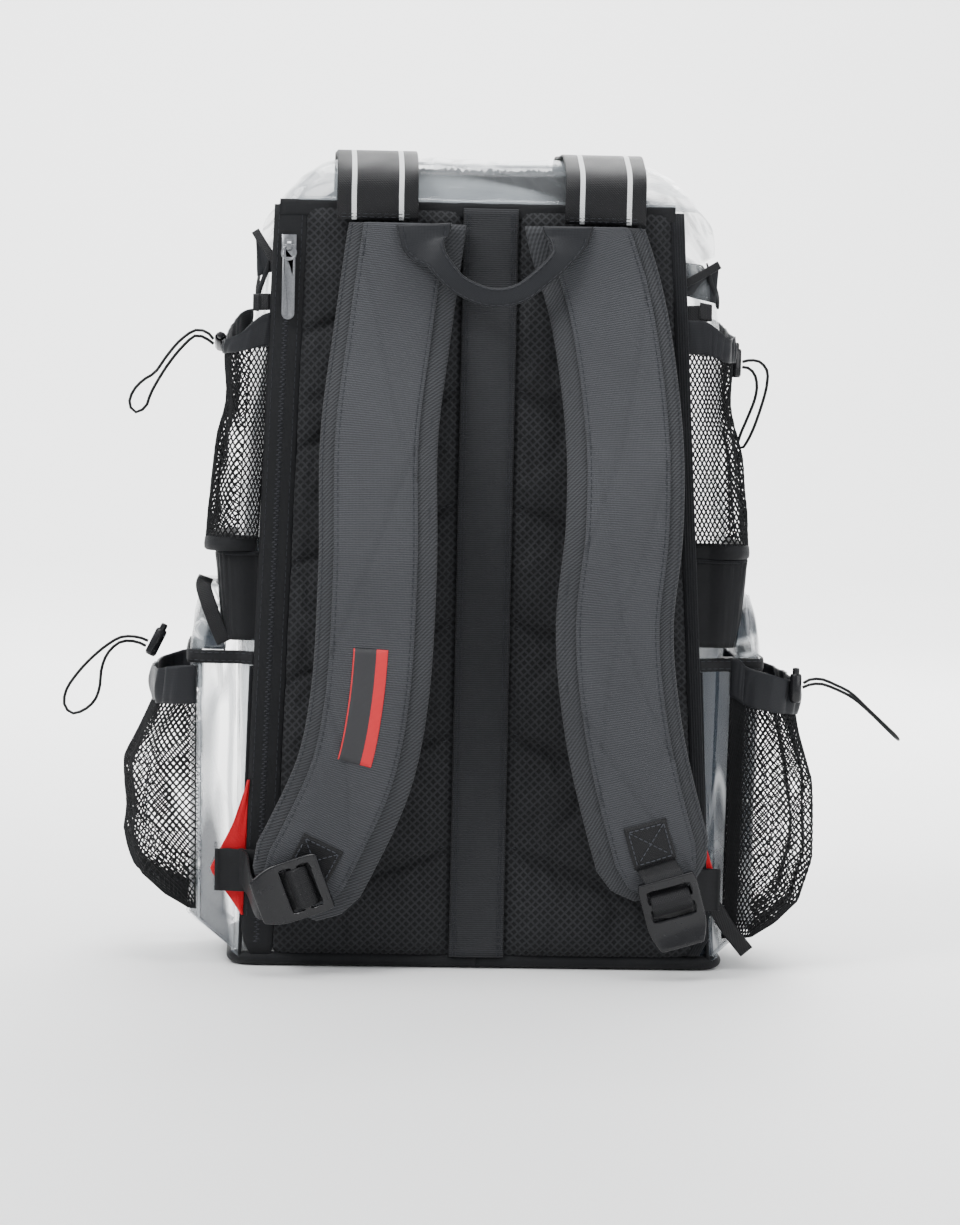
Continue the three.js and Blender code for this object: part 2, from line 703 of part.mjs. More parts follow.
function mouthRim() {
  const places = ROUND_BODY.filter((s) => s >= 1.4 && s <= 7.6);
  const grid = [0, 1].map((v) =>
    places.map((s) => {
      const z = mouthHeight(s) - RIM_TAPE_HEIGHT * (1 - v);
      return bodyPoint(s, z, CLEARANCE);
    }),
  );
  addMesh("mouth_rim", cloth(grid, RIM_TAPE_WALL, outward), "fabric");
}

// Rounded rectangle in plan, as points from the middle of its rear side round to the left
function planRing(half, rear, front, corner, heightAt) {
  const points = [];
  const put = (x, y, where) => points.push(new THREE.Vector3(x, y, heightAt(where)));
  const arc = (cx, cy, from, where) => {
    for (const f of [0, 0.33, 0.67, 1]) {
      const a = from - (f * Math.PI) / 2;
      put(cx + corner * Math.cos(a), cy + corner * Math.sin(a), where + f);
    }
  };
  put(0, rear, 0);
  put(-(half - corner) * 0.6, rear, 0);
  arc(-(half - corner), rear + corner, -Math.PI / 2, 1);
  put(-half, (rear + front) / 2, 2.5);
  arc(-(half - corner), front - corner, Math.PI, 3);
  put(-(half - corner) * 0.6, front, 4);
  put(0, front, 4);
  put((half - corner) * 0.6, front, 4);
  const mirrored = points.slice(2, points.length - 3).reverse();
  for (const p of mirrored) points.push(new THREE.Vector3(-p.x, p.y, p.z));
  points.push(new THREE.Vector3((half - corner) * 0.6, rear, heightAt(0)));
  return points;
}

// Rear outer face of the lid at the rim, and its front and half-width there
const lidGap = CLEARANCE + RIM_TAPE_WALL + CLEARANCE;
const lidHalf = bodyHalf(LID_SIDE - LID_DIP) + lidGap + VINYL;
const lidRear = PANEL_PLANE - 2;
const lidFront = bodyFront(LID_FRONT) + lidGap + VINYL;

// Rim height of the lid round its plan: level over the panel, down at the sides and lower in front
function lidRim(where) {
  return along([[0, PANEL_TOP + CLEARANCE], [1.34, PANEL_TOP + CLEARANCE], [1.68, mix(PANEL_TOP, LID_SIDE, 0.35)],
    [2, LID_SIDE], [3, LID_SIDE - LID_DIP], [4, LID_FRONT]], where);
}

// Sections of the lid from the rim up: share of the rise, share of the inward rounding
const LID_SECTIONS = [
  { rise: 0, inward: 0 },
  { rise: 0.34, inward: 0.04 },
  { rise: 0.66, inward: 0.18 },
  { rise: 0.9, inward: 0.5 },
  { rise: 1, inward: 1 },
  { rise: 0.95, inward: 1.5 },
];

function lidRing({ rise, inward }, wall) {
  const inset = LID_ROUNDING * inward + wall;
  const depth = lidFront - lidRear - 2 * inset;
  const corner = Math.min(LID_CORNER - wall, depth * 0.4);
  const top = LID_TOP - wall;
  return planRing(lidHalf - inset, lidRear + inset, lidFront - inset, corner, (where) => {
    const rim = lidRim(where);
    return mix(rim, top, rise);
  });
}

function clearLid() {
  const outer = LID_SECTIONS.map((section) => lidRing(section, 0));
  const inner = LID_SECTIONS.map((section) => lidRing(section, VINYL)).reverse();
  addMesh("clear_lid", domeWall(outer, inner), "vinyl");
}

// Outer rings from the rim up and inner rings from the top down, closed over the top and joined at the rim
function domeWall(outer, inner) {
  const count = outer[0].length;
  const rings = [...outer, ...inner];
  const points = rings.flat();
  const triangles = [];
  const joinRings = (i, next) => {
    for (let j = 0; j < count; j++) {
      const k = (j + 1) % count;
      triangles.push([i * count + j, i * count + k, next * count + k],
        [i * count + j, next * count + k, next * count + j]);
    }
  };
  for (let i = 0; i < outer.length - 1; i++) joinRings(i, i + 1);
  for (let i = outer.length; i < rings.length - 1; i++) joinRings(i, i + 1);
  joinRings(rings.length - 1, 0);
  const capAt = (ringNumber) => {
    for (const t of THREE.ShapeUtils.triangulateShape(flattened(rings[ringNumber]), [])) {
      triangles.push(t.map((n) => ringNumber * count + n));
    }
  };
  capAt(outer.length - 1);
  capAt(outer.length);
  fixCaps(triangles);
  return closedGeometry(points, triangles);
}

// Collar of the throat, gathered towards its drawn mouth under the lid
const COLLAR_SECTIONS = [
  { rise: 0, draw: 0 },
  { rise: 0.45, draw: 0.05 },
  { rise: 0.72, draw: 0.3 },
  { rise: 0.9, draw: 0.7 },
  { rise: 1, draw: 1 },
];

function throatCollar() {
  const rear = PANEL_PLANE + CLEARANCE + VINYL + CLEARANCE;
  const front = BODY_FRONT_TOP - VINYL - COLLAR_FRONT_INSET;
  const ring = ({ rise, draw }, wall) => {
    const half = mix(BODY_WIDTH_MOUTH / 2 - COLLAR_INSET, COLLAR_THROAT_WIDTH / 2, draw) - wall;
    const z = mix(COLLAR_BOTTOM, COLLAR_TOP, rise);
    const ringRear = mix(rear, rear + COLLAR_DRAW_REAR, draw) + wall;
    const ringFront = mix(front, front - COLLAR_DRAW_FRONT, draw) - wall;
    const points = planRing(half, ringRear, ringFront, Math.min(COLLAR_CORNER, half / 2), () => z);
    return points.map((p, i) => (draw > 0.2 && i % 2 ? p.setZ(p.z - 2 * draw) : p));
  };
  const outer = COLLAR_SECTIONS.map((section) => ring(section, 0));
  const inner = COLLAR_SECTIONS.map((section) => ring(section, COLLAR_WALL)).reverse();
  addMesh("throat_collar", ringLoft([...outer, ...inner], true), "fabric");
}

// Half-width of the whole back at a height: the panel, and on the left its zip tape too
function backEdge(side, z) {
  return panelHalf(side, z) + CLEARANCE + (side === "left" ? ZIP_TAPE_WIDTH + CLEARANCE : 0);
}

// Small folded tab at each rear corner of the mouth
function sideTabs() {
  for (const side of SIDES) {
    const low = MOUTH_REAR - RIM_TAPE_HEIGHT - TAB_HEIGHT + 6;
    const edge = backEdge(side, low);
    const outline = [
      [0, 0.4], [0.85, 0], [1, 0.3], [0.8, 1], [0, 0.75],
    ];
    const ring = (y) => outline.map(([across, up]) => new THREE.Vector3(
      signOf[side] * (edge + across * TAB_REACH[side]), y, low + up * TAB_HEIGHT));
    addMesh("side_tab_" + side, ringLoft([ring(PANEL_PLANE - TAB_THICKNESS), ring(PANEL_PLANE)]), "fabric");
  }
}

// Centre line of each shoulder strap from its top down: share of the drop, share of the spread, share of the bow
const STRAP_LINES = {
  left: [
    [0, 0.43, 0], [0.16, 0.5, 0.12], [0.31, 0.56, 0.55], [0.5, 0.56, 1], [0.69, 0.59, 0.98],
    [0.8, 0.66, 0.85], [0.91, 0.82, 0.62], [1, 0.98, 0.45],
  ],
  right: [
    [0, 0.47, 0], [0.12, 0.6, 0.08], [0.31, 0.69, 0.55], [0.45, 0.69, 0.93], [0.6, 0.65, 1],
    [0.75, 0.71, 0.9], [0.9, 0.84, 0.66], [1, 0.95, 0.45],
  ],
};
const strapFoot = PANEL_PLANE - GROOVE_THICKNESS - PAD_PUFF - CLEARANCE - STRAP_PAD / 2;

function strapCurve(side) {
  return new THREE.CatmullRomCurve3(
    STRAP_LINES[side].map(([drop, spread, bow]) => new THREE.Vector3(
      signOf[side] * spread * STRAP_SPREAD,
      strapFoot - bow * STRAP_BOW,
      mix(STRAP_TOP, STRAP_BOTTOM[side], drop),
    )), false, "centripetal");
}

// Stations at shares of a strap's length, lifted off its centre line. The top end is cut level.
function strapStations(side, shares, widthAt, thickness, lift, shift = 0) {
  const curve = strapCurve(side);
  return shares.map((t) => {
    const tangent = curve.getTangentAt(t);
    const across = t === 0 ? new THREE.Vector3(1, 0, 0) : new THREE.Vector3(-tangent.z, 0, tangent.x).normalize();
    const out = new THREE.Vector3().crossVectors(tangent, across).normalize();
    if (out.y > 0) out.negate();
    const at = curve.getPointAt(t).addScaledVector(out, lift).addScaledVector(across, shift);
    return { at, across, out, half: widthAt(t) / 2, thick: thickness };
  });
}

// Shares of a strap's length at which its sections stand, closer together at its rounded end
const STRAP_SHARES = [...steps(17, 0, 0.935), 0.972, 1];
const strapWidth = (t) => STRAP_WIDTH * along([[0, 1], [0.94, 1], [0.975, 0.86], [1, 0.55]], t);

function shoulderStraps() {
  const faceLift = STRAP_PAD / 2 + 2.5 * CLEARANCE + STRAP_FACE / 2;
  const patchLift = faceLift + STRAP_FACE / 2 + CLEARANCE + PATCH_THICKNESS / 2;
  for (const side of SIDES) {
    const length = strapCurve(side).getLength();
    addMesh("strap_pad_" + side,
      strapSweep(strapStations(side, STRAP_SHARES, strapWidth, STRAP_PAD, 0), true), "mesh_black");
    const faceShares = STRAP_SHARES.filter((t) => t < 0.99);
    addMesh("strap_face_" + side,
      strapSweep(strapStations(side, faceShares, (t) => STRAP_FACE_WIDTH * (strapWidth(t) / STRAP_WIDTH),
        STRAP_FACE, faceLift, FACE_SHIFT * signOf[side])), "ribbed");
    const patchShares = steps(3, 1 - (PATCH_FOOT + PATCH_SIZE) / length, 1 - PATCH_FOOT / length);
    addMesh("strap_patch_" + side,
      strapSweep(strapStations(side, patchShares, () => PATCH_SIZE, PATCH_THICKNESS, patchLift)), "webbing");
  }
  const length = strapCurve("left").getLength();
  const labelShares = steps(5, LABEL_DOWN / length, (LABEL_DOWN + LABEL_LENGTH) / length);
  addMesh("strap_label",
    strapSweep(strapStations("left", labelShares, () => LABEL_WIDTH, PATCH_THICKNESS, patchLift, -LABEL_SHIFT)),
    "red");
}

// Ladder lock: plate with two slots, turned in its own frame and put below the strap's end
const LOCK_SEATS = {
  left: { across: 1.8, up: 12, stand: 18.5, turn: 1.2, tilt: 0.25 },
  right: { across: 5.4, up: -10.5, stand: 12.5, turn: -0.28, tilt: 0.2 },
};

function ladderLock(side) {
  const w = LOCK_WIDTH / 2;
  const h = LOCK_LENGTH / 2;
  const outline = new THREE.Shape();
  const cut = LOCK_TOP_CUT;
  const lip = -h + LOCK_LIP_RISE;
  outline.moveTo(-w, h - cut);
  outline.lineTo(-w + cut, h);
  outline.lineTo(w - cut, h);
  outline.lineTo(w, h - cut);
  outline.lineTo(w, lip);
  outline.quadraticCurveTo(w - LOCK_LIP_DRAW, -h, 0, -h);
  outline.quadraticCurveTo(-w + LOCK_LIP_DRAW, -h, -w, lip);
  outline.closePath();
  for (const level of lockSlots) {
    const slot = new THREE.Path();
    const s = LOCK_SLOT_WIDTH / 2;
    slot.moveTo(-s, level);
    slot.lineTo(s, level);
    slot.lineTo(s, level + LOCK_SLOT_HEIGHT);
    slot.lineTo(-s, level + LOCK_SLOT_HEIGHT);
    slot.closePath();
    outline.holes.push(slot);
  }
  const plate = new THREE.ExtrudeGeometry(outline, {
    depth: LOCK_THICKNESS, bevelEnabled: false, curveSegments: 5,
  });
  plate.translate(0, 0, -LOCK_THICKNESS / 2);
  plate.rotateX(Math.PI / 2);
  return plate;
}

// Lower edges of the two slots in the lock's own frame
const upperSlot = LOCK_LENGTH / 2 - LOCK_TOP_BAR - LOCK_SLOT_HEIGHT;
const lockSlots = [upperSlot, upperSlot - LOCK_BAR - LOCK_SLOT_HEIGHT];

// Where the webbing leaves a lock: how far behind its plate and below its lower slot
const WEB_LEAVES = {
  left: { behind: 1.6, down: 24 },
  right: { behind: 6, down: 8 },
};

// Frame of a lock: it stands off the strap's end towards the rear, turned in the strap's plane and tilted
function lockFrame(side) {
  const curve = strapCurve(side);
  const end = curve.getPointAt(1);
  const seat = LOCK_SEATS[side];
  return new THREE.Matrix4()
    .makeRotationY(seat.turn)
    .multiply(new THREE.Matrix4().makeRotationX(seat.tilt))
    .setPosition(end.x + seat.across, end.y - seat.stand, end.z + seat.up);
}

// Webbing that comes from the red gusset, up through the lower slot, over the bar and down through the upper slot
function lockAndWebbing() {
  for (const side of SIDES) {
    const frame = lockFrame(side);
    addMesh("ladder_lock_" + side, ladderLock(side).applyMatrix4(frame), "plastic");
    const local = (y, z) => new THREE.Vector3(0, y, z).applyMatrix4(frame);
    const behind = LOCK_THICKNESS / 2 + CLEARANCE + LOWER_WEB / 2 + 0.6;
    const [upper, lower] = lockSlots.map((level) => level + LOCK_SLOT_HEIGHT / 2);
    const across = new THREE.Vector3(1, 0, 0).transformDirection(frame);
    const rows = [
      [behind + 0.4, upper + 4.4], [behind - 0.6, upper + 2], [0, upper],
      [-behind, (upper + lower) / 2], [0, lower], [behind - 0.4, lower - 2.4],
      [behind + WEB_LEAVES[side].behind, lower - WEB_LEAVES[side].down],
    ];
    const points = rows.map(([y, z]) => local(y, z));
    const anchor = webAnchor(side);
    const over = PANEL_PLANE - GROOVE_THICKNESS - PAD_PUFF - 2 * CLEARANCE - LOWER_WEB / 2;
    points.push(new THREE.Vector3(anchor.x - signOf[side] * WEB_RUN[side], over, anchor.z), anchor);
    const curve = new THREE.CatmullRomCurve3(points, false, "centripetal");
    const upright = new THREE.Vector3(0, 0, -1);
    const stations = steps(22).map((t) => {
      const tangent = curve.getTangent(t);
      const wide = across.clone().lerp(upright, smooth((t - 0.6) / 0.35)).normalize();
      const out = new THREE.Vector3().crossVectors(tangent, wide).normalize();
      return {
        at: curve.getPoint(t), out,
        across: new THREE.Vector3().crossVectors(out, tangent).normalize(),
        half: LOWER_WEB_WIDTH / 2, thick: LOWER_WEB,
      };
    });
    addMesh("lower_webbing_" + side, strapSweep(stations), "webbing");
  }
}

// Where the lower webbing meets the red gusset
function webAnchor(side) {
  const z = GUSSET_BOTTOM + GUSSET_HEIGHT * WEB_SEAT[side];
  const y = PANEL_PLANE - ZIP_TAPE_THICKNESS - CLEARANCE - LOWER_WEB / 2;
  return new THREE.Vector3(signOf[side] * (backEdge(side, z) + GUSSET_REACH[side] * 0.4), y, z);
}

// Red triangle of cloth that stands out of each lower panel seam
function redGussets() {
  for (const side of SIDES) {
    const edgeAt = (z) => backEdge(side, z);
    const low = GUSSET_BOTTOM;
    const high = GUSSET_BOTTOM + GUSSET_HEIGHT;
    const mid = mix(low, high, 0.34);
    const outline = [
      [edgeAt(low), low], [edgeAt(mid) + GUSSET_REACH[side], mid],
      [edgeAt(mid) + GUSSET_REACH[side] * 0.4, mix(mid, high, 0.5)], [edgeAt(high), high],
    ];
    const ring = (y) => outline.map(([x, z]) => new THREE.Vector3(signOf[side] * x, y, z));
    const front = PANEL_PLANE - ZIP_TAPE_THICKNESS;
    addMesh("red_gusset_" + side, ringLoft([ring(front), ring(front + GUSSET_THICKNESS)]), "red");
  }
}

// Haul loop: share of the span from its middle, share of the drop, width share between band and anchor
const HAUL_LINE = [
  [-0.46, 0, 1], [-0.45, 0.28, 0.75], [-0.37, 0.5, 0.1], [-0.22, 0.83, 0], [0, 1, 0],
  [0.18, 0.94, 0], [0.35, 0.68, 0], [0.47, 0.42, 0.1], [0.51, 0.2, 0.6], [0.51, 0, 0.9],
];

function haulLoop() {
  const y = strapFoot - STRAP_PAD / 2 - STRAP_FACE - 3 * CLEARANCE - HAUL_THICKNESS / 2;
  const top = STRAP_TOP;
  const curve = new THREE.CatmullRomCurve3(
    HAUL_LINE.map(([across, drop]) => new THREE.Vector3(
      across * HAUL_SPAN, y - HAUL_STAND * smooth(drop * 1.4), top - drop * HAUL_DROP)),
    false, "centripetal");
  const stations = steps(18).map((t) => {
    const tangent = curve.getPoint(Math.min(t + 0.01, 1)).sub(curve.getPoint(Math.max(t - 0.01, 0)));
    const across = new THREE.Vector3(-tangent.z, 0, tangent.x).normalize();
    const wide = along(HAUL_LINE.map((row, i) => [i / (HAUL_LINE.length - 1), row[2]]), t);
    return {
      at: curve.getPoint(t),
      across,
      out: new THREE.Vector3(0, -1, 0),
      half: mix(HAUL_WIDTH, HAUL_ANCHOR_WIDTH, wide) / 2,
      thick: HAUL_THICKNESS,
    };
  });
  addMesh("haul_loop", strapSweep(stations), "ribbed");
}

// Right half of a buckle's outline from its foot up: share of the taper, share of half the height
const BUCKLE_OUTLINE = [[1, -1], [0, -0.3], [0.5, 0.3], [1, 1]];

// Wide webs from the strap seam over the lid and down the front, with a plain buckle on each
function topWebs() {
  const lift = CLEARANCE + TOP_WEB / 2;
  const lidAt = (number) => {
    const { rise, inward } = LID_SECTIONS[number];
    return { inset: LID_ROUNDING * inward, rise };
  };
  const seam = TOP_WEB_START + TOP_WEB_SEAM;
  const route = [[strapFoot, TOP_WEB_START], [strapFoot - 2, seam], [strapFoot + 1, PANEL_TOP + TOP_WEB_TURN]];
  for (const number of [3, 4]) {
    const { inset, rise } = lidAt(number);
    route.push([lidRear + inset - lift * 1.4, mix(PANEL_TOP, LID_TOP, rise) + lift * 1.6]);
  }
  route.push([(lidRear + lidFront) / 2, LID_TOP + lift + 0.6]);
  for (const number of [4, 3, 2, 1, 0]) {
    const { inset, rise } = lidAt(number);
    route.push([lidFront - inset + lift * 1.4, mix(LID_FRONT, LID_TOP, rise) + lift * (number > 2 ? 1.6 : 0.4)]);
  }
  for (const [z, stand] of [[LID_FRONT - TOP_WEB_BELOW_LID, 3.5], [BUCKLE_PLACE, 1], [TOP_WEB_END, 0.3]]) {
    route.push([bodyFront(z) + lift + stand, z]);
  }
  for (const side of SIDES) {
    const x = signOf[side] * TOP_WEB_PLACE;
    addMesh("top_webbing_" + side, strapSweep(webInPlane(x, route, TOP_WEB_WIDTH, TOP_WEB)), "webbing");
    const block = new THREE.Shape();
    const w = BUCKLE_WIDTH / 2;
    const h = BUCKLE_HEIGHT / 2;
    const rows = BUCKLE_OUTLINE.map(([taper, up]) => [w - taper * BUCKLE_TAPER, up * h]);
    block.setFromPoints([...rows, ...rows.slice().reverse().map(([across, up]) => [-across, up])]
      .map(([across, up]) => new THREE.Vector2(across, up)));
    const buckle = new THREE.ExtrudeGeometry(block, {
      depth: BUCKLE_THICKNESS - 2 * BUCKLE_BEVEL, bevelSize: BUCKLE_BEVEL, bevelThickness: BUCKLE_BEVEL,
      bevelSegments: 1,
    });
    buckle.rotateX(Math.PI / 2);
    const slope = Math.atan2(bodyFront(BUCKLE_PLACE - h) - bodyFront(BUCKLE_PLACE + h), BUCKLE_HEIGHT);
    buckle.rotateX(slope);
    buckle.translate(x, bodyFront(BUCKLE_PLACE) + lift + TOP_WEB / 2 + CLEARANCE + BUCKLE_THICKNESS + 1.4,
      BUCKLE_PLACE);
    addMesh("front_buckle_" + side, buckle, "plastic");
  }
}

// Share of an upper net's bulge round the body, and how far it stands off at a share of its height
function upperSpread(s) {
  const place = s > 4.5 ? 9 - s : s;
  return Math.sin(Math.PI * clamp01((place - UPPER_NET_START) / (UPPER_NET_END - UPPER_NET_START))) ** 0.55;
}

function upperReach(side, v) {
  return mix(UPPER_BULGE[side], UPPER_MOUTH_BULGE[side], v)
    - UPPER_NET_PINCH * Math.exp(-(((v - 0.72) / 0.16) ** 2));
}

// Side-net pockets on the upper body
function upperNets() {
  const floorLow = WAIST_HEIGHT + CLEARANCE;
  const floorHigh = floorLow + UPPER_FLOOR_HEIGHT;
  const netLow = floorHigh + CLEARANCE;
  const around = steps(11, UPPER_NET_START, UPPER_NET_END);
  for (const side of SIDES) {
    const at = (s, z, offset) => bodyPoint(side === "left" ? s : 9 - s, z, offset);
    const pleat = (s, v) => UPPER_PLEAT * Math.sin(s * 21) * Math.sin(Math.PI * v);
    const grid = steps(7).map((v) =>
      around.map((s) => {
        const z = mix(netLow, UPPER_NET_TOP, v);
        return at(s, z, CLEARANCE + upperSpread(s) * (upperReach(side, v) + pleat(s, v)));
      }),
    );
    addMesh("upper_net_" + side, cloth(grid, NET, outward), "net");
    const bandLow = UPPER_NET_TOP + CLEARANCE;
    const bandGrid = steps(2).map((v) =>
      around.map((s, j) => {
        const z = bandLow + UPPER_BAND_HEIGHT * v;
        const gather = (j % 2) * UPPER_GATHER * Math.sin(Math.PI * v);
        return at(s, z, CLEARANCE + upperSpread(s) * (UPPER_MOUTH_BULGE[side] + gather));
      }),
    );
    addMesh("upper_net_band_" + side, cloth(bandGrid, NET, outward), "fabric");
    const floorRing = (z) => [
      ...around.map((s) => at(s, z, CLEARANCE + 0.2 + upperSpread(s) * (UPPER_BULGE[side] + NET))),
      ...around.slice().reverse().filter((_, j) => j > 0 && j < around.length - 1).map((s) => at(s, z, CLEARANCE)),
    ];
    addMesh("upper_net_floor_" + side, ringLoft([floorRing(floorLow), floorRing(floorHigh)]), "fabric");
  }
}

// Outer path of a clear pocket at a height: rear face (0 to 1), corner, outer face (2 to 3), corner, front face
function pocketPoint(side, q, z, offset = 0, inset = 0) {
  const half = bodyHalf(z);
  const outer = half + CLEARANCE + POCKET_REACH[side] - inset;
  const rear = POCKET_REAR + inset;
  const front = POCKET_FRONT - inset;
  const r = Math.max(POCKET_CORNER - inset, 3);
  let x;
  let y;
  let nx = 0;
  let ny = -1;
  if (q <= 1) {
    x = mix(half + CLEARANCE, outer - r, q);
    y = rear;
  } else if (q <= 2) {
    const a = (-Math.PI / 2) * (2 - q);
    [nx, ny] = [Math.cos(a), Math.sin(a)];
    x = outer - r + r * nx;
    y = rear + r + r * ny;
  } else if (q <= 3) {
    [nx, ny] = [1, 0];
    x = outer;
    y = mix(rear + r, front - r, q - 2);
  } else if (q <= 4) {
    const a = (Math.PI / 2) * (q - 3);
    [nx, ny] = [Math.cos(a), Math.sin(a)];
    x = outer - r + r * nx;
    y = front - r + r * ny;
  } else {
    [nx, ny] = [0, 1];
    x = mix(outer - r, half + CLEARANCE, q - 4);
    y = front;
  }
  return new THREE.Vector3(signOf[side] * (x + nx * offset), y + ny * offset, z);
}

const AROUND_POCKET = [0, 0.6, 1, 1.5, 2, 2.5, 3, 3.5, 4, 5];

// Closed ring of a pocket: its outer path, then back along the body, kept clear of it by a gap
function pocketRing(side, z, gap, inset, wall) {
  const x = signOf[side] * (bodyHalf(z) + gap + wall);
  const outerPath = AROUND_POCKET.map((q) => pocketPoint(side, q, z, -wall, inset));
  const last = outerPath[outerPath.length - 1];
  outerPath[0].x = x;
  outerPath[1].x = mix(x, outerPath[2].x, AROUND_POCKET[1]);
  last.x = x;
  const bodyPath = [0.75, 0.5, 0.25].map((share) => new THREE.Vector3(x, mix(outerPath[0].y, last.y, share), z));
  return [...outerPath, ...bodyPath];
}

function clearPockets() {
  for (const side of SIDES) {
    const drop = (p) => {
      const out = clamp01((Math.abs(p.x) - bodyHalf(p.z)) / POCKET_REACH[side]);
      return mix(POCKET_BOTTOM, POCKET_BOTTOM + POCKET_DROP, out);
    };
    const level = (v, wall) =>
      pocketRing(side, mix(POCKET_BOTTOM, POCKET_TOP, v), CLEARANCE, 0, wall).map((p) => {
        const low = drop(p) + wall;
        return p.setZ(mix(low, POCKET_TOP, v));
      });
    const outer = [1, 0.7, 0.35, 0].map((v) => level(v, 0));
    const inner = [0, 0.35, 0.7, 1].map((v) => level(v, VINYL));
    addMesh("clear_pocket_" + side, domeWall(outer, inner), "vinyl");

    const tapeGrid = [0, 1].map((v) =>
      AROUND_POCKET.map((q) => pocketPoint(side, Math.min(q, 4.6), POCKET_TOP - POCKET_TAPE_HEIGHT * (1 - v),
        CLEARANCE)),
    );
    addMesh("pocket_tape_" + side, cloth(tapeGrid, POCKET_TAPE, (p) => pocketOutward(side, p)), "fabric");

    const lidSections = [
      { rise: 0, inward: 0 }, { rise: 0.4, inward: 0.03 }, { rise: 0.78, inward: 0.25 }, { rise: 1, inward: 0.7 },
    ];
    const lidLow = POCKET_TOP + CLEARANCE;
    const lidRingAt = ({ rise, inward }, wall) => {
      const z = mix(lidLow, WAIST_HEIGHT - POCKET_LID_BELOW_WAIST, rise) - (rise > 0 ? wall : 0);
      const gap = bandOffset(2.2, z) + BAND_WALL + CLEARANCE;
      return pocketRing(side, z, gap, inward * POCKET_CORNER, wall);
    };
    const lidOuter = lidSections.map((section) => lidRingAt(section, 0));
    const lidInner = lidSections.map((section) => lidRingAt(section, VINYL)).reverse();
    addMesh("pocket_lid_" + side, domeWall(lidOuter, lidInner), "vinyl");
  }
}

// Direction away from the middle of a side pocket, level
function pocketOutward(side, p) {
  const middle = signOf[side] * bodyHalf(p.z);
  return new THREE.Vector3(p.x - middle, p.y - (POCKET_REAR + POCKET_FRONT) / 2, 0);
}

// Share of a lower net's bulge round its pocket. It lies nearly flat on the rear face.
function lowerSpread(start, q) {
  const arch = Math.sin(Math.PI * clamp01((q - start) / (LOWER_NET_END - start))) ** 0.5;
  return arch * mix(0.2, 1, smooth((q - 0.9) / 1.1));
}

// Net pockets on the clear pockets
function lowerNets() {
  for (const side of SIDES) {
    const start = LOWER_NET_START[side];
    const around = steps(11, start, LOWER_NET_END);
    const spread = (q) => lowerSpread(start, q);
    const low = LOWER_NET_BOTTOM[side];
    const reach = (v) => along([
      [0, 0.02], [0.06, 0.42], [0.16, 0.82], [0.35, 1], [0.7, 0.95],
      [1, LOWER_MOUTH_BULGE[side] / LOWER_BULGE[side]],
    ], v) * LOWER_BULGE[side];
    const pleat = (q, v) => LOWER_PLEAT * Math.sin(q * 15) * Math.sin(Math.PI * v);
    const grid = [0, 0.06, 0.16, 0.35, 0.52, 0.7, 0.85, 1].map((v) =>
      around.map((q) => {
        const z = mix(low, LOWER_NET_TOP, v);
        return pocketPoint(side, q, z, CLEARANCE + spread(q) * (reach(v) + pleat(q, v)));
      }),
    );
    addMesh("lower_net_" + side, cloth(grid, NET, (p) => pocketOutward(side, p)), "net");
    const bandLow = LOWER_NET_TOP + CLEARANCE;
    const bandGrid = steps(2).map((v) =>
      around.map((q, j) => {
        const gather = (j % 2) * LOWER_GATHER * Math.sin(Math.PI * v);
        return pocketPoint(side, q, bandLow + LOWER_BAND_HEIGHT * v,
          CLEARANCE + spread(q) * (LOWER_MOUTH_BULGE[side] + gather));
      }),
    );
    addMesh("lower_net_band_" + side, cloth(bandGrid, NET, (p) => pocketOutward(side, p)), "fabric");
  }
}

// Seats of the cord locks on the pocket bands. Each leans by an angle about Y, or points to the rear.
function lockSeats() {
  const r = CORD_LOCK_DIAMETER / 2;
  const upperAt = (side, s, z) => {
    const bulge = upperSpread(s) * UPPER_MOUTH_BULGE[side];
    return bodyPoint(side === "left" ? s : 9 - s, z, CLEARANCE * 2 + bulge + NET + r);
  };
  const lowerAt = (side, q, z, stand) => {
    const bulge = lowerSpread(LOWER_NET_START[side], q) * LOWER_MOUTH_BULGE[side];
    return pocketPoint(side, q, z, CLEARANCE * 2 + bulge + NET + stand);
  };
  const upperBand = UPPER_NET_TOP + 2;
  const bandTop = LOWER_NET_TOP + CLEARANCE + LOWER_BAND_HEIGHT;
  const half = CORD_LOCK_LENGTH / 2;
  const leftLean = 0.45;
  return [
    { name: "upper_left", at: upperAt("left", 2.25, upperBand), lean: 0, back: 1.2 },
    { name: "upper_right", at: upperAt("right", 2.25, upperBand).setZ(UPPER_NET_TOP - half + 4), lean: 0, back: 0 },
    {
      name: "lower_left", lean: leftLean, back: 0,
      at: lowerAt("left", 2.35,
        bandTop + CLEARANCE + half * Math.cos(leftLean) + (r - CORD_LOCK_CHAMFER) * Math.sin(leftLean), -1.9),
    },
    { name: "lower_right", at: lowerAt("right", 1.72, bandTop - half, r - 0.5), lean: 0, back: 0 },
  ];
}

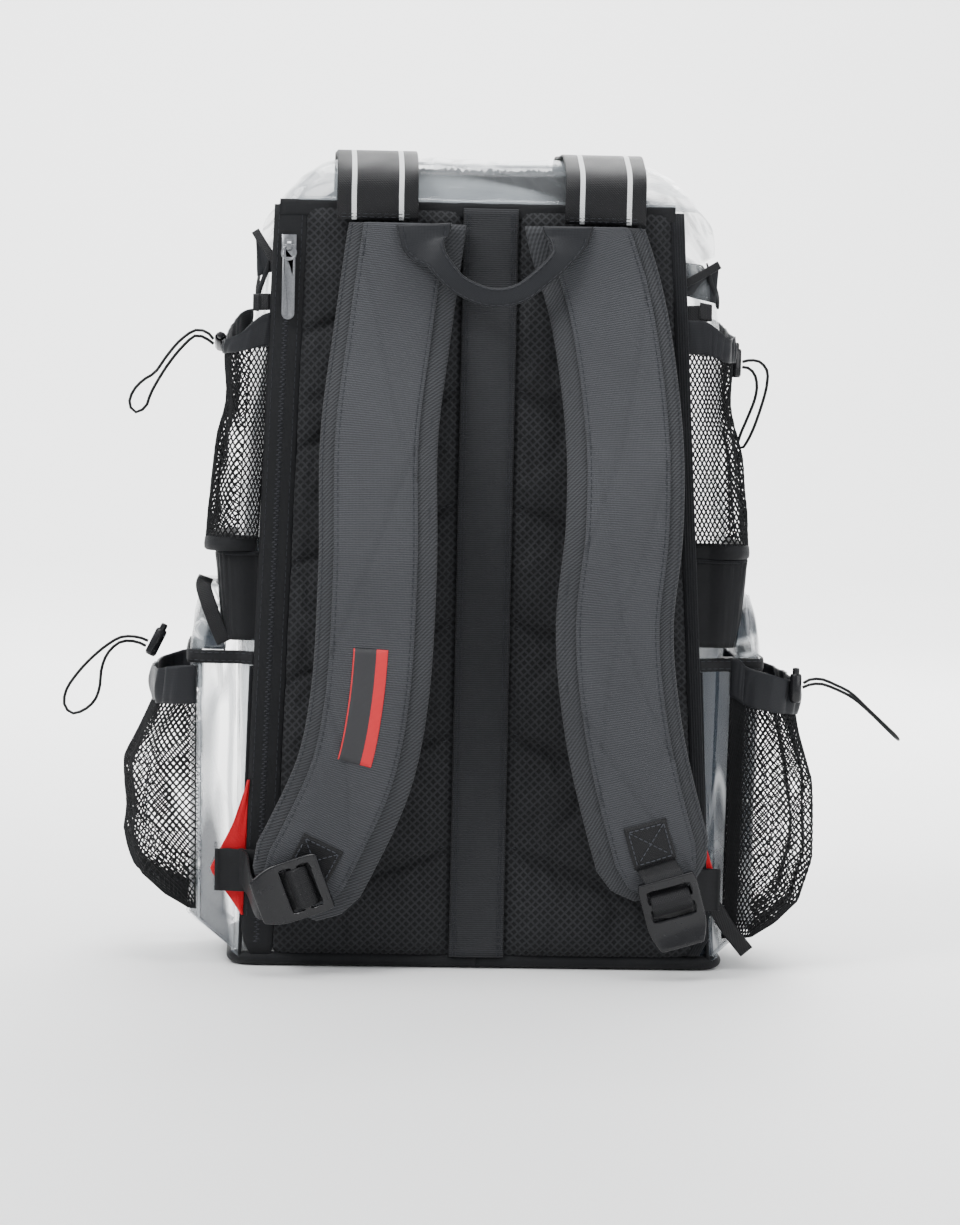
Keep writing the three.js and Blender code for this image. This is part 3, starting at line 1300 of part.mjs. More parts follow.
// Barrel with a bore at its top, and the sprung button that stands out of it
function cordLocks() {
  const r = CORD_LOCK_DIAMETER / 2;
  const bore = CORD_LOCK_BORE / 2;
  const half = CORD_LOCK_LENGTH / 2;
  const depth = PLUNGER_TRAVEL + 4;
  const barrel = [
    [0, -half], [r - CORD_LOCK_CHAMFER, -half], [r, -half + 1.5], [r, half - 1.5], [r - 0.6, half], [bore, half],
    [bore, half - depth], [0, half - depth],
  ];
  const p = PLUNGER_DIAMETER / 2;
  const low = half - depth + PLUNGER_TRAVEL + CLEARANCE;
  const button = [[0, low], [p, low], [p, half + PLUNGER_STAND - 0.8], [p - 0.8, half + PLUNGER_STAND],
    [0, half + PLUNGER_STAND]];
  const lathe = (profile) => {
    const made = new THREE.LatheGeometry(profile.map(([x, y]) => new THREE.Vector2(x, y)), 10);
    made.rotateX(Math.PI / 2);
    return made;
  };
  for (const seat of lockSeats()) {
    const frame = new THREE.Matrix4()
      .makeRotationY(seat.lean)
      .multiply(new THREE.Matrix4().makeRotationX(seat.back))
      .setPosition(seat.at);
    addMesh("cord_lock_" + seat.name, lathe(barrel).applyMatrix4(frame), "plastic");
    addMesh("plunger_" + seat.name, lathe(button).applyMatrix4(frame), "plastic");
  }
}

function cords() {
  for (const [name, route] of Object.entries(CORD_ROUTES)) {
    const curve = new THREE.CatmullRomCurve3(
      route.map(([x, y, z]) => new THREE.Vector3(x, y, z)), false, "centripetal");
    const section = new THREE.Shape();
    section.absarc(0, 0, CORD_DIAMETER / 2, 0, Math.PI * 2);
    const tube = new THREE.ExtrudeGeometry(section, {
      extrudePath: curve,
      steps: Math.round(curve.getLength() / (CORD_DIAMETER * 3)),
      curveSegments: 4,
    });
    addMesh("cord_" + name, tube, "cord");
  }
}

clearBody();
bagBase();
backPanel();
spineStrip();
zipTape();
zipSliderAndPull();
waistBand();
mouthRim();
clearLid();
throatCollar();
sideTabs();
shoulderStraps();
lockAndWebbing();
redGussets();
haulLoop();
topWebs();
upperNets();
clearPockets();
lowerNets();
cordLocks();
cords();

export default part;
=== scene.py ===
"""Looks of the clear stadium backpack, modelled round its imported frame."""

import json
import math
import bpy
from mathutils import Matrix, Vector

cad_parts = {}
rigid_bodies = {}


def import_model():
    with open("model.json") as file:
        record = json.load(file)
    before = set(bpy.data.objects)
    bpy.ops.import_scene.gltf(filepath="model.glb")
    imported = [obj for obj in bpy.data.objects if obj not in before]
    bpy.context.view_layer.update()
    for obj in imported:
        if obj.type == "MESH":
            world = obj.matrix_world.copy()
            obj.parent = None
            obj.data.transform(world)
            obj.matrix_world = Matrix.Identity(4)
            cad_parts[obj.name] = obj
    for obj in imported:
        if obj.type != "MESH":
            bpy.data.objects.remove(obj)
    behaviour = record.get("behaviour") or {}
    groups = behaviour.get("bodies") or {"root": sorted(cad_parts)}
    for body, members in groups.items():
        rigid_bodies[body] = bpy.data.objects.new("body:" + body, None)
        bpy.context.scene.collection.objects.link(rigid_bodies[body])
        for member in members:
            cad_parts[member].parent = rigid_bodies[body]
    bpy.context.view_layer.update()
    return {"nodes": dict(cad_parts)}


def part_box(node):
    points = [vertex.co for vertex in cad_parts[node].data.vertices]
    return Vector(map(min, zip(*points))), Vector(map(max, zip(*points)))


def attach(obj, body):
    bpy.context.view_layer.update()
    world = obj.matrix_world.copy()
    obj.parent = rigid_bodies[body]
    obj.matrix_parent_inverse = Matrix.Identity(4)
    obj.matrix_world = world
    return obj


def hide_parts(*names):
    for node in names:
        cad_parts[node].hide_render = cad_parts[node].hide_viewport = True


bl_info = {
    "name": "Clear Stadium Backpack",
    "version": (1, 0, 0),
    "blender": (4, 5, 0),
    "location": "View3D > Sidebar > Backpack",
    "description": "Fabric, vinyl, net, webbing and hardware for the clear stadium backpack",
    "category": "Object",
}

import bmesh
import bpy
import numpy as np
from bpy.props import FloatProperty, FloatVectorProperty, PointerProperty
from mathutils import Matrix, Vector, noise

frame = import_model()

# Sizes below are in millimetres, as in the part's source, and MM turns them into metres
MM = 0.001
FACING = Vector((0, -1, 0)).freeze()
ACROSS = Vector((1, 0, 0)).freeze()
UPWARD = Vector((0, 0, 1)).freeze()
SIDES = ("left", "right")
SIGN = {"left": -1, "right": 1}
BODY = "bag"
CLEARANCE = 0.3
PANEL_TOP = 473
PANEL_PLANE = -70
WAIST_HEIGHT = 258
MOUTH_REAR = 423
MOUTH_FRONT = 445
BODY_FRONT = 78
BODY_FRONT_TOP = 52
REAR_CORNER = 12
FRONT_CORNER = 42
SEAM_LAP = 14
BASE_HEIGHT = 7
LOW = BASE_HEIGHT + CLEARANCE
GROOVE_FACE = PANEL_PLANE - 4
PAD_FACE = PANEL_PLANE - 10
BAND_BOTTOM = 203
LID_TOP = 505
LID_SIDE = 446
LID_FRONT = 424
POCKET_REACH = {"left": 29, "right": 24}
POCKET_REAR = -65
POCKET_FRONT = 42
POCKET_CORNER = 11
POCKET_TOP = 196
STRAP_TOP = 462
STRAP_BOTTOM = {"left": 42, "right": 54}
STRAP_HALF = 36
STRAP_HALF_THICK = 4
STRAP_FACE_HALF = 25.5
SPINE_HALF = 17
FIRST_GROOVE = 82
GROOVES = [FIRST_GROOVE + 71 * i for i in range(6)]
CHEVRON_SLOPE = 0.38
PANEL_CORNER = {"left": 4, "right": 14}
POCKET_START = {"left": 18.9, "right": 5.5}
GUSSET_LOW = 31
GUSSET_HIGH = 117
GUSSET_TIP = 0.34
GUSSET_REACH = {"left": 22, "right": 12}
WEB_X = 70
WEB_HALF = 25
BUCKLE_WEB_HALF = 12.5

# Each cord's route, as in the part's source
CORD_ROUTES = {
    "upper_left": (
        (-170, -38, 388.4), (-174, -38.4, 392.6), (-181, -39, 393.8), (-190.5, -40, 387.4),
        (-199.5, -41, 376.4), (-206, -42, 367), (-214, -42, 361.5), (-220, -42, 354), (-221.5, -42, 346.5),
        (-217.5, -42, 342), (-211.5, -42, 345.5), (-208.6, -42, 353.4), (-203.6, -41, 363),
        (-197.2, -40, 373.2), (-188.6, -39, 384), (-181, -38, 390.4), (-175.4, -37.4, 389.2),
        (-169.8, -37, 385.4),
    ),
    "upper_right": (
        (161.8, -38.8, 380.8), (167, -39, 382), (173, -40, 381), (177.4, -41, 375.5), (177.6, -41, 368),
        (176.4, -41, 361), (170, -41, 340), (165.5, -40, 330), (162.4, -39, 326), (160.4, -38, 328.6),
        (162.2, -38, 336), (165, -38, 343), (170.4, -39, 358), (171.4, -39, 366), (170, -39, 372.6),
        (166.4, -38.8, 376.8), (161.8, -38.8, 377.6),
    ),
    "lower_left": (
        (-208.2, -24.4, 197.6), (-212, -24.6, 199.2), (-217, -25, 200.2), (-225, -26, 199.9),
        (-233, -27, 195.4), (-243, -28, 187), (-252, -29, 177), (-259, -30, 166), (-260, -30, 157),
        (-255.5, -30, 151.6), (-248, -30, 153.6), (-241, -29, 160), (-238, -29, 169), (-237.4, -28, 178),
        (-235, -27, 186.6), (-230.6, -26, 193), (-224.6, -25, 197), (-217.4, -24, 197.2),
        (-213, -23.8, 196), (-209.5, -23.8, 194.3),
    ),
    "lower_right": (
        (201.8, -69.4, 181.6), (206, -70, 184), (213, -71, 184.4), (222, -72, 181), (231, -73, 176.6),
        (242, -76, 166.6), (252, -79, 157.4), (259.6, -79, 150.4), (262, -74, 147.6), (261, -68, 148.4),
        (255, -66, 154), (244, -68, 164.2), (233, -70.2, 173), (223, -69.8, 178), (213.4, -68.6, 181.2),
        (207, -67.6, 180.8), (201.6, -67, 178.6),
    ),
}

# Centre line of each strap: share of the drop, of the 120 mm spread, and of the 42 mm bow
STRAP_LINES = {
    "left": (
        (0, 0.43, 0), (0.16, 0.5, 0.12), (0.31, 0.56, 0.55), (0.5, 0.56, 1), (0.69, 0.59, 0.98),
        (0.8, 0.66, 0.85), (0.91, 0.82, 0.62), (1, 0.98, 0.45),
    ),
    "right": (
        (0, 0.47, 0), (0.12, 0.6, 0.08), (0.31, 0.69, 0.55), (0.45, 0.69, 0.93), (0.6, 0.65, 1),
        (0.75, 0.71, 0.9), (0.9, 0.84, 0.66), (1, 0.95, 0.45),
    ),
}
STRAP_SPREAD = 120
STRAP_BOW = 42
STRAP_FOOT = PAD_FACE - CLEARANCE - 4


def length(label, about, value):
    return FloatProperty(name=label, description=about, default=value, unit="LENGTH")


class BackpackSizes(bpy.types.PropertyGroup):
    """Sizes that a user may change."""

    cord: length("Cord", "Diameter of the elastic cords", 0.002)
    vinyl: length("Vinyl", "Thickness of the clear vinyl", 0.0009)
    crease: length("Creases", "Depth of the soft creases in the vinyl", 0.0022)
    net_cell: length("Net cell", "Width of a cell of the nets", 0.0054)
    net_strand: length("Net strand", "Thickness of the nets' strands", 0.0011)
    stitch: length("Stitch", "Length of one stitch", 0.0032)
    stripe: length("Stripe", "Width of the white stripes on the top webs", 0.003)


def colour(label, about, value):
    return FloatVectorProperty(
        name=label, description=about, subtype="COLOR", size=3, min=0, max=1, default=value)


class BackpackColours(bpy.types.PropertyGroup):
    """Colours that a user may change."""

    air_mesh: colour("Air mesh", "Strands of the quilted back's mesh", (0.016, 0.0165, 0.018))
    ribbed: colour("Ribbed fabric", "Faces of the shoulder straps and the spine", (0.056, 0.058, 0.064))
    nylon: colour("Nylon", "Plain black fabric", (0.0075, 0.008, 0.0095))
    webbing: colour("Webbing", "Black webbing", (0.006, 0.006, 0.007))
    stripe: colour("Stripes", "Stripes on the top webs", (0.75, 0.76, 0.76))
    red: colour("Red", "Gussets and label", (0.6, 0.001, 0.01))
    vinyl: colour("Vinyl", "Clear vinyl", (0.78, 0.84, 0.88))
    metal: colour("Metal", "Zip slider and pull", (0.2, 0.205, 0.215))
    floor: colour("Floor", "Floor and backdrop", (0.88, 0.88, 0.875))


# Node trees

class Finish:
    """A material being made: its tree and its Principled shader."""

    def __init__(self, name, roughness):
        self.material = bpy.data.materials.new(name)
        self.material.use_nodes = True
        self.tree = self.material.node_tree
        self.shader = self.tree.nodes["Principled BSDF"]
        self.shader.inputs["Roughness"].default_value = roughness

    def node(self, kind, inputs=None, **settings):
        made = self.tree.nodes.new(kind)
        for key, value in settings.items():
            setattr(made, key, value)
        for key, value in (inputs or {}).items():
            if isinstance(value, bpy.types.NodeSocket):
                self.tree.links.new(value, made.inputs[key])
            else:
                made.inputs[key].default_value = value
        return made

    def maths(self, operation, first, second=0.0):
        return self.node("ShaderNodeMath", {0: first, 1: second}, operation=operation).outputs[0]

    def cloth_place(self, flip=False):
        place = self.node("ShaderNodeUVMap", uv_map="weave").outputs[0]
        if flip:
            place = self.node("ShaderNodeMapping", {"Vector": place, "Scale": (1, -1, 1)}).outputs[0]
        return place

    def object_place(self):
        return self.node("ShaderNodeTexCoord").outputs["Object"]

    def lines(self, place, pitch, direction="X", distortion=0.0):
        period = math.pi / 5 if direction == "DIAGONAL" else math.pi / 10
        return self.node(
            "ShaderNodeTexWave",
            {"Vector": place, "Scale": period / pitch, "Distortion": distortion, "Detail": 1.0},
            bands_direction=direction,
        ).outputs["Fac"]

    def speckle(self, place, size, detail=3.0):
        return self.node(
            "ShaderNodeTexNoise", {"Vector": place, "Scale": 1 / size, "Detail": detail}).outputs["Fac"]

    def blend(self, share, dark, light):
        made = self.node("ShaderNodeMix", data_type="RGBA")
        for socket, value in ((made.inputs[0], share), (made.inputs[6], dark), (made.inputs[7], light)):
            if isinstance(value, bpy.types.NodeSocket):
                self.tree.links.new(value, socket)
            else:
                socket.default_value = value if isinstance(value, float) else (*value[:3], 1)
        return made.outputs[2]

    def stepped(self, value, low, high):
        span = {"Value": value, "From Min": low, "From Max": high}
        return self.node("ShaderNodeMapRange", span, clamp=True).outputs[0]

    def colour_from(self, socket):
        self.tree.links.new(socket, self.shader.inputs["Base Color"])

    def rough_from(self, value, low, high):
        made = self.node("ShaderNodeMapRange", {"Value": value, "To Min": low, "To Max": high})
        self.tree.links.new(made.outputs[0], self.shader.inputs["Roughness"])

    def bump(self, height, distance, strength=1.0, under=None):
        inputs = {"Height": height, "Distance": distance, "Strength": strength}
        if under is not None:
            inputs["Normal"] = under
        made = self.node("ShaderNodeBump", inputs)
        self.tree.links.new(made.outputs[0], self.shader.inputs["Normal"])
        return made.outputs[0]

    def dull(self, shine, sheen=0.03):
        self.shader.inputs["Specular IOR Level"].default_value = shine
        self.shader.inputs["Sheen Weight"].default_value = sheen
        self.shader.inputs["Sheen Roughness"].default_value = 0.4


def shade(value, factor):
    return tuple(min(1.0, part * factor) for part in value)


def air_mesh_finish(name, tone, pitch):
    """Knitted air mesh: a lattice of raised strands round cells, the strands painted lighter as sheen and the
    cells painted darker as shade.
    """
    made = Finish(name, 0.85)
    rising = made.lines(made.cloth_place(), pitch, "DIAGONAL", 0.4)
    falling = made.lines(made.cloth_place(True), pitch, "DIAGONAL", 0.4)
    lattice = made.stepped(made.maths("MAXIMUM", rising, falling), 0.55, 0.95)
    fuzz = made.speckle(made.object_place(), 0.0008)
    drift = made.speckle(made.object_place(), 0.06)
    lit = made.blend(drift, shade(tone, 0.8), shade(tone, 1.5))
    # Painted sheen and shade: the strands take the lighter colour and the cells between them a much darker
    # one.
    made.colour_from(made.blend(lattice, shade(tone, 0.45), lit))
    made.bump(made.maths("ADD", lattice, made.maths("MULTIPLY", fuzz, 0.3)), 0.0004, 0.7)
    made.rough_from(fuzz, 0.7, 0.95)
    made.dull(0.16)
    return made.material


def ribbed_finish(name, tone, pitch, direction="Y"):
    """Fine ribs with a crossing weave, painted paler on the crests as highlight and darker in the troughs as
    shade.
    """
    made = Finish(name, 0.8)
    ribs = made.lines(made.cloth_place(), pitch, direction, 0.3)
    weave = made.lines(made.cloth_place(), pitch * 0.6, "X" if direction == "Y" else "Y", 0.2)
    fuzz = made.speckle(made.object_place(), 0.0009)
    drift = made.speckle(made.object_place(), 0.05)
    crest = made.maths("ADD", made.maths("MULTIPLY", ribs, 0.7), made.maths("MULTIPLY", weave, 0.3))
    lit = made.blend(drift, shade(tone, 0.85), shade(tone, 1.25))
    # Painted highlight and shade: the rib crests lighter, the troughs between them darker.
    made.colour_from(made.blend(crest, shade(tone, 0.4), lit))
    made.bump(made.maths("ADD", crest, made.maths("MULTIPLY", fuzz, 0.25)), 0.0004, 0.8)
    made.rough_from(fuzz, 0.68, 0.92)
    made.dull(0.2, 0.04)
    return made.material


def woven_finish(name, tone, pitch, roughness, depth=0.0002, shine=0.1):
    """Plain weave with small changes of tone."""
    made = Finish(name, roughness)
    warp = made.lines(made.cloth_place(), pitch, "X", 0.2)
    weft = made.lines(made.cloth_place(), pitch, "Y", 0.2)
    weave = made.maths("MULTIPLY", warp, weft)
    drift = made.speckle(made.object_place(), 0.03, 5.0)
    lit = made.blend(drift, shade(tone, 0.8), shade(tone, 1.45))
    made.colour_from(made.blend(weave, shade(tone, 0.6), lit))
    soft = made.bump(made.speckle(made.object_place(), 0.012, 3.0), 0.0012, 0.5)
    made.bump(weave, depth, 0.7, soft)
    made.rough_from(drift, roughness - 0.1, roughness + 0.1)
    made.dull(0.2, shine * 0.4)
    return made.material


def webbing_finish(name, tone, stripe_tone=None, stripe_width=0.0):
    """Satin webbing with a herringbone weave, and stripes near its edges where it has them."""
    made = Finish(name, 0.5)
    place = made.cloth_place()
    rising = made.lines(place, 0.0016, "DIAGONAL", 0.2)
    ends = made.lines(place, 0.0011, "Y", 0.2)
    weave = made.maths("ADD", made.maths("MULTIPLY", rising, 0.6), made.maths("MULTIPLY", ends, 0.4))
    drift = made.speckle(made.object_place(), 0.02, 4.0)
    base = made.blend(weave, shade(tone, 0.5), shade(tone, 1.5))
    if stripe_tone is not None:
        across = made.node("ShaderNodeSeparateXYZ", {"Vector": place}).outputs[0]
        away = made.maths("ABSOLUTE", made.maths("SUBTRACT", made.maths("ABSOLUTE", across), 0.0145))
        inside = made.maths("LESS_THAN", away, stripe_width / 2)
        base = made.blend(inside, base, made.blend(weave, shade(stripe_tone, 0.6), stripe_tone))
    made.colour_from(base)
    made.bump(weave, 0.0003, 0.7)
    made.rough_from(drift, 0.36, 0.6)
    made.dull(0.22)
    return made.material


def vinyl_finish(name, tone, clear, wrinkle, drawn_out, dark_reflection, white):
    """Clear soft vinyl: see-through, with painted dark reflections and painted white highlights in streaks
    along its creases.
    """
    made = Finish(name, 0.08)
    place = made.object_place()
    drawn = made.node("ShaderNodeMapping", {"Vector": place, "Scale": drawn_out}).outputs[0]

    def field(scale, detail, distortion):
        return made.node(
            "ShaderNodeTexNoise",
            {"Vector": drawn, "Scale": scale, "Detail": detail, "Roughness": 0.4, "Distortion": distortion},
        ).outputs["Fac"]

    creases = field(34, 1.2, 0.35)
    broad = field(19, 1.0, 0.45)
    made.bump(creases, wrinkle, 0.8)

    def highlight_streak(source, level, width):
        away = made.maths("ABSOLUTE", made.maths("SUBTRACT", source, level))
        return made.stepped(away, width, width * 0.25)

    # Painted highlights: white streaks along the creases and broad white patches, standing in for reflections
    # of the lamps.
    bright = made.maths("MAXIMUM", highlight_streak(creases, 0.56, 0.02), highlight_streak(broad, 0.43, 0.025))
    bright = made.maths("MULTIPLY", bright, made.stepped(field(47, 1.0, 0.2), 0.44, 0.62))
    bright = made.maths("MAXIMUM", bright, made.maths("MULTIPLY", made.stepped(broad, 0.38, 0.33), white))
    # Painted dark reflections: dark blue-grey patches in the clear vinyl.
    deep = made.maths("MULTIPLY", made.stepped(broad, 0.5, 0.55), dark_reflection)
    edge = made.node("ShaderNodeLayerWeight", {"Blend": 0.3}).outputs["Facing"]
    span = {"Value": edge, "From Min": 0.1, "From Max": 1.0, "To Min": clear, "To Max": 0.26}
    haze = made.node("ShaderNodeMapRange", span)
    # The painted highlights and painted dark reflections are made more opaque where they show.
    shown = made.maths("MAXIMUM", made.maths("MULTIPLY", bright, 0.62), made.maths("MULTIPLY", deep, 0.72))
    alpha = made.maths("MAXIMUM", haze.outputs[0], shown)
    made.tree.links.new(alpha, made.shader.inputs["Alpha"])
    base = made.blend(deep, tone, (0.03, 0.04, 0.054))
    made.colour_from(made.blend(bright, base, (0.96, 0.98, 0.99)))
    made.rough_from(creases, 0.04, 0.16)
    made.shader.inputs["IOR"].default_value = 1.5
    made.shader.inputs["Coat Weight"].default_value = 0.5
    made.shader.inputs["Coat Roughness"].default_value = 0.04
    return made.material


def plastic_finish(name, tone):
    """Moulded glossy plastic with faint flow marks."""
    made = Finish(name, 0.24)
    marks = made.speckle(made.object_place(), 0.004, 4.0)
    made.colour_from(made.blend(marks, shade(tone, 0.7), shade(tone, 1.6)))
    made.bump(made.speckle(made.object_place(), 0.0012, 2.0), 0.00005, 0.5)
    made.rough_from(marks, 0.16, 0.34)
    made.shader.inputs["Specular IOR Level"].default_value = 0.25
    made.shader.inputs["Coat Weight"].default_value = 0.12
    return made.material


def metal_finish(name, tone):
    """Dull cast zinc, lightly scuffed."""
    made = Finish(name, 0.35)
    made.shader.inputs["Metallic"].default_value = 1.0
    scuffs = made.node("ShaderNodeTexNoise", {"Vector": made.object_place(), "Scale": 900, "Detail": 5})
    made.colour_from(made.blend(scuffs.outputs["Fac"], shade(tone, 0.7), shade(tone, 1.5)))
    made.bump(scuffs.outputs["Fac"], 0.00006, 0.5)
    made.rough_from(scuffs.outputs["Fac"], 0.28, 0.5)
    return made.material


def label_finish(name, red, black):
    """Woven patch: black with a red strip along one side and a thin red border."""
    made = Finish(name, 0.6)
    place = made.cloth_place()
    parts = made.node("ShaderNodeSeparateXYZ", {"Vector": place})
    across = parts.outputs[0]
    edge = made.maths("GREATER_THAN", made.maths("ABSOLUTE", across), 0.0097)
    strip = made.maths("GREATER_THAN", across, 0.0035)
    red_here = made.maths("MAXIMUM", edge, strip)
    weave = made.lines(place, 0.0007, "Y", 0.1)
    woven_red = made.blend(weave, shade(red, 0.7), red)
    woven_black = made.blend(weave, shade(black, 0.6), shade(black, 1.8))
    made.colour_from(made.blend(red_here, woven_black, woven_red))
    made.bump(weave, 0.0002, 0.6)
    made.rough_from(weave, 0.5, 0.7)
    return made.material


def floor_finish(name, tone):
    made = Finish(name, 0.6)
    grain = made.speckle(made.object_place(), 0.25, 2.0)
    made.colour_from(made.blend(grain, shade(tone, 0.97), tone))
    return made.material


FINISHES = {}


def make_finishes(colours, sizes):
    black = colours.nylon
    clear = tuple(colours.vinyl)
    FINISHES.update({
        "air_mesh": air_mesh_finish("Air mesh", colours.air_mesh, 0.0052),
        "binding": ribbed_finish("Mesh binding", shade(colours.air_mesh, 2.6), 0.0026, "DIAGONAL"),
        "ribbed": ribbed_finish("Ribbed strap fabric", colours.ribbed, 0.0014),
        "spine": ribbed_finish("Ribbed spine fabric", shade(colours.ribbed, 0.5), 0.0013),
        "nylon": woven_finish("Black nylon", black, 0.0008, 0.6),
        "elastic": ribbed_finish("Gathered elastic", shade(black, 1.3), 0.0016, "X"),
        "lining": woven_finish("Gathered nylon", shade(black, 1.9), 0.0009, 0.5, 0.0001, 0.2),
        "webbing": webbing_finish("Black webbing", colours.webbing),
        "striped": webbing_finish("Striped webbing", colours.webbing, tuple(colours.stripe), sizes.stripe),
        # The last two numbers of each vinyl set how strong its painted dark reflections and its painted white
        # highlights are.
        "vinyl": vinyl_finish("Clear vinyl", clear, 0.04, 0.0018, (1, 1, 0.2), 1.0, 0.8),
        "lid_vinyl": vinyl_finish("Creased clear vinyl", clear, 0.025, 0.003, (0.3, 0.8, 1), 0.55, 0.45),
        "curled_vinyl": vinyl_finish("Curled clear vinyl", clear, 0.04, 0.003, (1, 0.7, 0.8), 1.0, 1.0),
        "red": woven_finish("Red nylon", colours.red, 0.0008, 0.55, 0.0002, 0.15),
        # Painted shade: a darker copy of the red nylon for the inside of the gussets' folds.
        "shaded_red": woven_finish("Shaded red nylon", shade(colours.red, 0.35), 0.0008, 0.6),
        "plastic": plastic_finish("Black plastic", (0.006, 0.006, 0.007)),
        "metal": metal_finish("Grey zinc", colours.metal),
        "thread": woven_finish("Black thread", shade(black, 4.5), 0.0005, 0.6),
        # Paler thread for the box-X stitches on the strap patches.
        "grey_thread": woven_finish("Paler thread", shade(black, 9), 0.0005, 0.6),
        "braid": webbing_finish("Braided elastic", shade(black, 0.9)),
        "knot": woven_finish("Net thread", shade(black, 0.9), 0.0005, 0.7),
        "label": label_finish("Woven patch", tuple(colours.red), (0.01, 0.01, 0.012)),
        "floor": floor_finish("Pale floor", colours.floor),
    })


# Meshes

def settle(name, mesh, finish, slot=None, nodes=(), body=BODY):
    """Makes a piece of a mesh, gives it its finish and puts it on its body."""
    piece = bpy.data.objects.new(name, mesh)
    bpy.context.scene.collection.objects.link(piece)
    return dress(piece, finish, slot, nodes, body)


def dress(piece, finish, slot=None, nodes=(), body=BODY):
    piece.data.materials.clear()
    piece.data.materials.append(FINISHES[finish])
    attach(piece, body)
    if nodes:
        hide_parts(*nodes)
    return piece


def deselect():
    for other in bpy.context.view_layer.objects:
        other.select_set(False)


def pick(piece):
    """Selects one object alone and makes it active."""
    deselect()
    piece.select_set(True)
    bpy.context.view_layer.objects.active = piece


def apply_modifier(piece, kind, **settings):
    modifier = piece.modifiers.new(kind.title(), kind)
    for key, value in settings.items():
        setattr(modifier, key, value)
    pick(piece)
    bpy.ops.object.modifier_apply(modifier=modifier.name)


def smooth(piece, angle=40):
    pick(piece)
    bpy.ops.object.shade_smooth_by_angle(angle=math.radians(angle))


def grid_mesh(name, rows, wrap=False, caps=False, centred=True):
    """Mesh of a grid of points in millimetres, with a map in metres that follows the surface."""
    rows = np.array([[tuple(p) for p in row] for row in rows], float) * MM
    count, width = rows.shape[:2]
    mesh = bpy.data.meshes.new(name)
    made = bmesh.new()
    verts = [[made.verts.new(p) for p in row] for row in rows]
    weave = made.loops.layers.uv.new("weave")
    closed = np.concatenate([rows, rows[:, :1]], axis=1) if wrap else rows
    steps = np.linalg.norm(np.diff(closed, axis=1), axis=2)
    across = np.concatenate([np.zeros((count, 1)), np.cumsum(steps, axis=1)], axis=1)
    if centred:
        across -= across[:, -1:] / 2
    rises = np.linalg.norm(np.diff(rows, axis=0), axis=2).mean(axis=1)
    up = np.concatenate([[0], np.cumsum(rises)])
    for i in range(count - 1):
        for j in range(width if wrap else width - 1):
            k = (j + 1) % width
            face = made.faces.new((verts[i][j], verts[i][k], verts[i + 1][k], verts[i + 1][j]))
            spots = ((i, j), (i, j + 1), (i + 1, j + 1), (i + 1, j))
            for loop, (a, b) in zip(face.loops, spots):
                loop[weave].uv = (across[a][b], up[a])
    if caps:
        for row in (verts[0], verts[-1]):
            made.faces.new(row)
    bmesh.ops.recalc_face_normals(made, faces=made.faces)
    made.to_mesh(mesh)
    made.free()
    mesh.polygons.foreach_set("use_smooth", [True] * len(mesh.polygons))
    return mesh


def sheet_piece(name, rows, finish, slot, nodes=(), thickness=1.0, inward=False, wrap=False, away=None):
    """Sheet of cloth or vinyl with a real thickness, grown away from its grid."""
    piece = settle(name, grid_mesh(name, rows, wrap), finish, slot, nodes)
    flip_to(piece, away or (lambda p: Vector((p.x, p.y, 0))))
    apply_modifier(piece, "SOLIDIFY", thickness=thickness * MM, offset=-1 if inward else 1, use_rim=True)
    return piece


def flip_to(piece, away):
    """Turns all faces over where most of them look the other way."""
    mesh = piece.data
    total = sum(f.normal.dot(away(f.center)) * f.area for f in mesh.polygons)
    if total < 0:
        mesh.flip_normals()


def loft_piece(name, rings, finish, slot, nodes=(), caps=True):
    """Closed form through rings of equal count, in millimetres."""
    return settle(name, grid_mesh(name, rings, wrap=True, caps=caps), finish, slot, nodes)


def spaced(count, low=0.0, high=1.0):
    return [low + (high - low) * i / count for i in range(count + 1)]


def mix(a, b, t):
    return a + (b - a) * t


def table(place, places, values):
    """Value read off a table, straight between its entries."""
    return float(np.interp(place, places, values))


def clamp(t):
    return min(1.0, max(0.0, t))


def ease(t):
    t = clamp(t)
    return t * t * (3 - 2 * t)


def ripple(x, y, z, size, seed=0.0):
    """Soft noise from about -1 to 1 at a place in millimetres."""
    return noise.noise(Vector((x / size + seed, y / size - seed, z / size + 0.5 * seed)))


def crumple(p, sizes, seed=0.0):
    """Creases like those of soft vinyl: broad dents with a few sharp ridges."""
    broad = ripple(p.x, p.y, p.z, 46, seed)
    sharp = 1 - 2 * abs(ripple(p.x * 1.2, p.y, p.z * 0.7, 30, seed + 7))
    fine = 1 - 2 * abs(ripple(p.x, p.y, p.z, 13, seed + 3))
    return sizes.crease / MM * (0.5 * broad + 0.35 * sharp + 0.15 * fine)


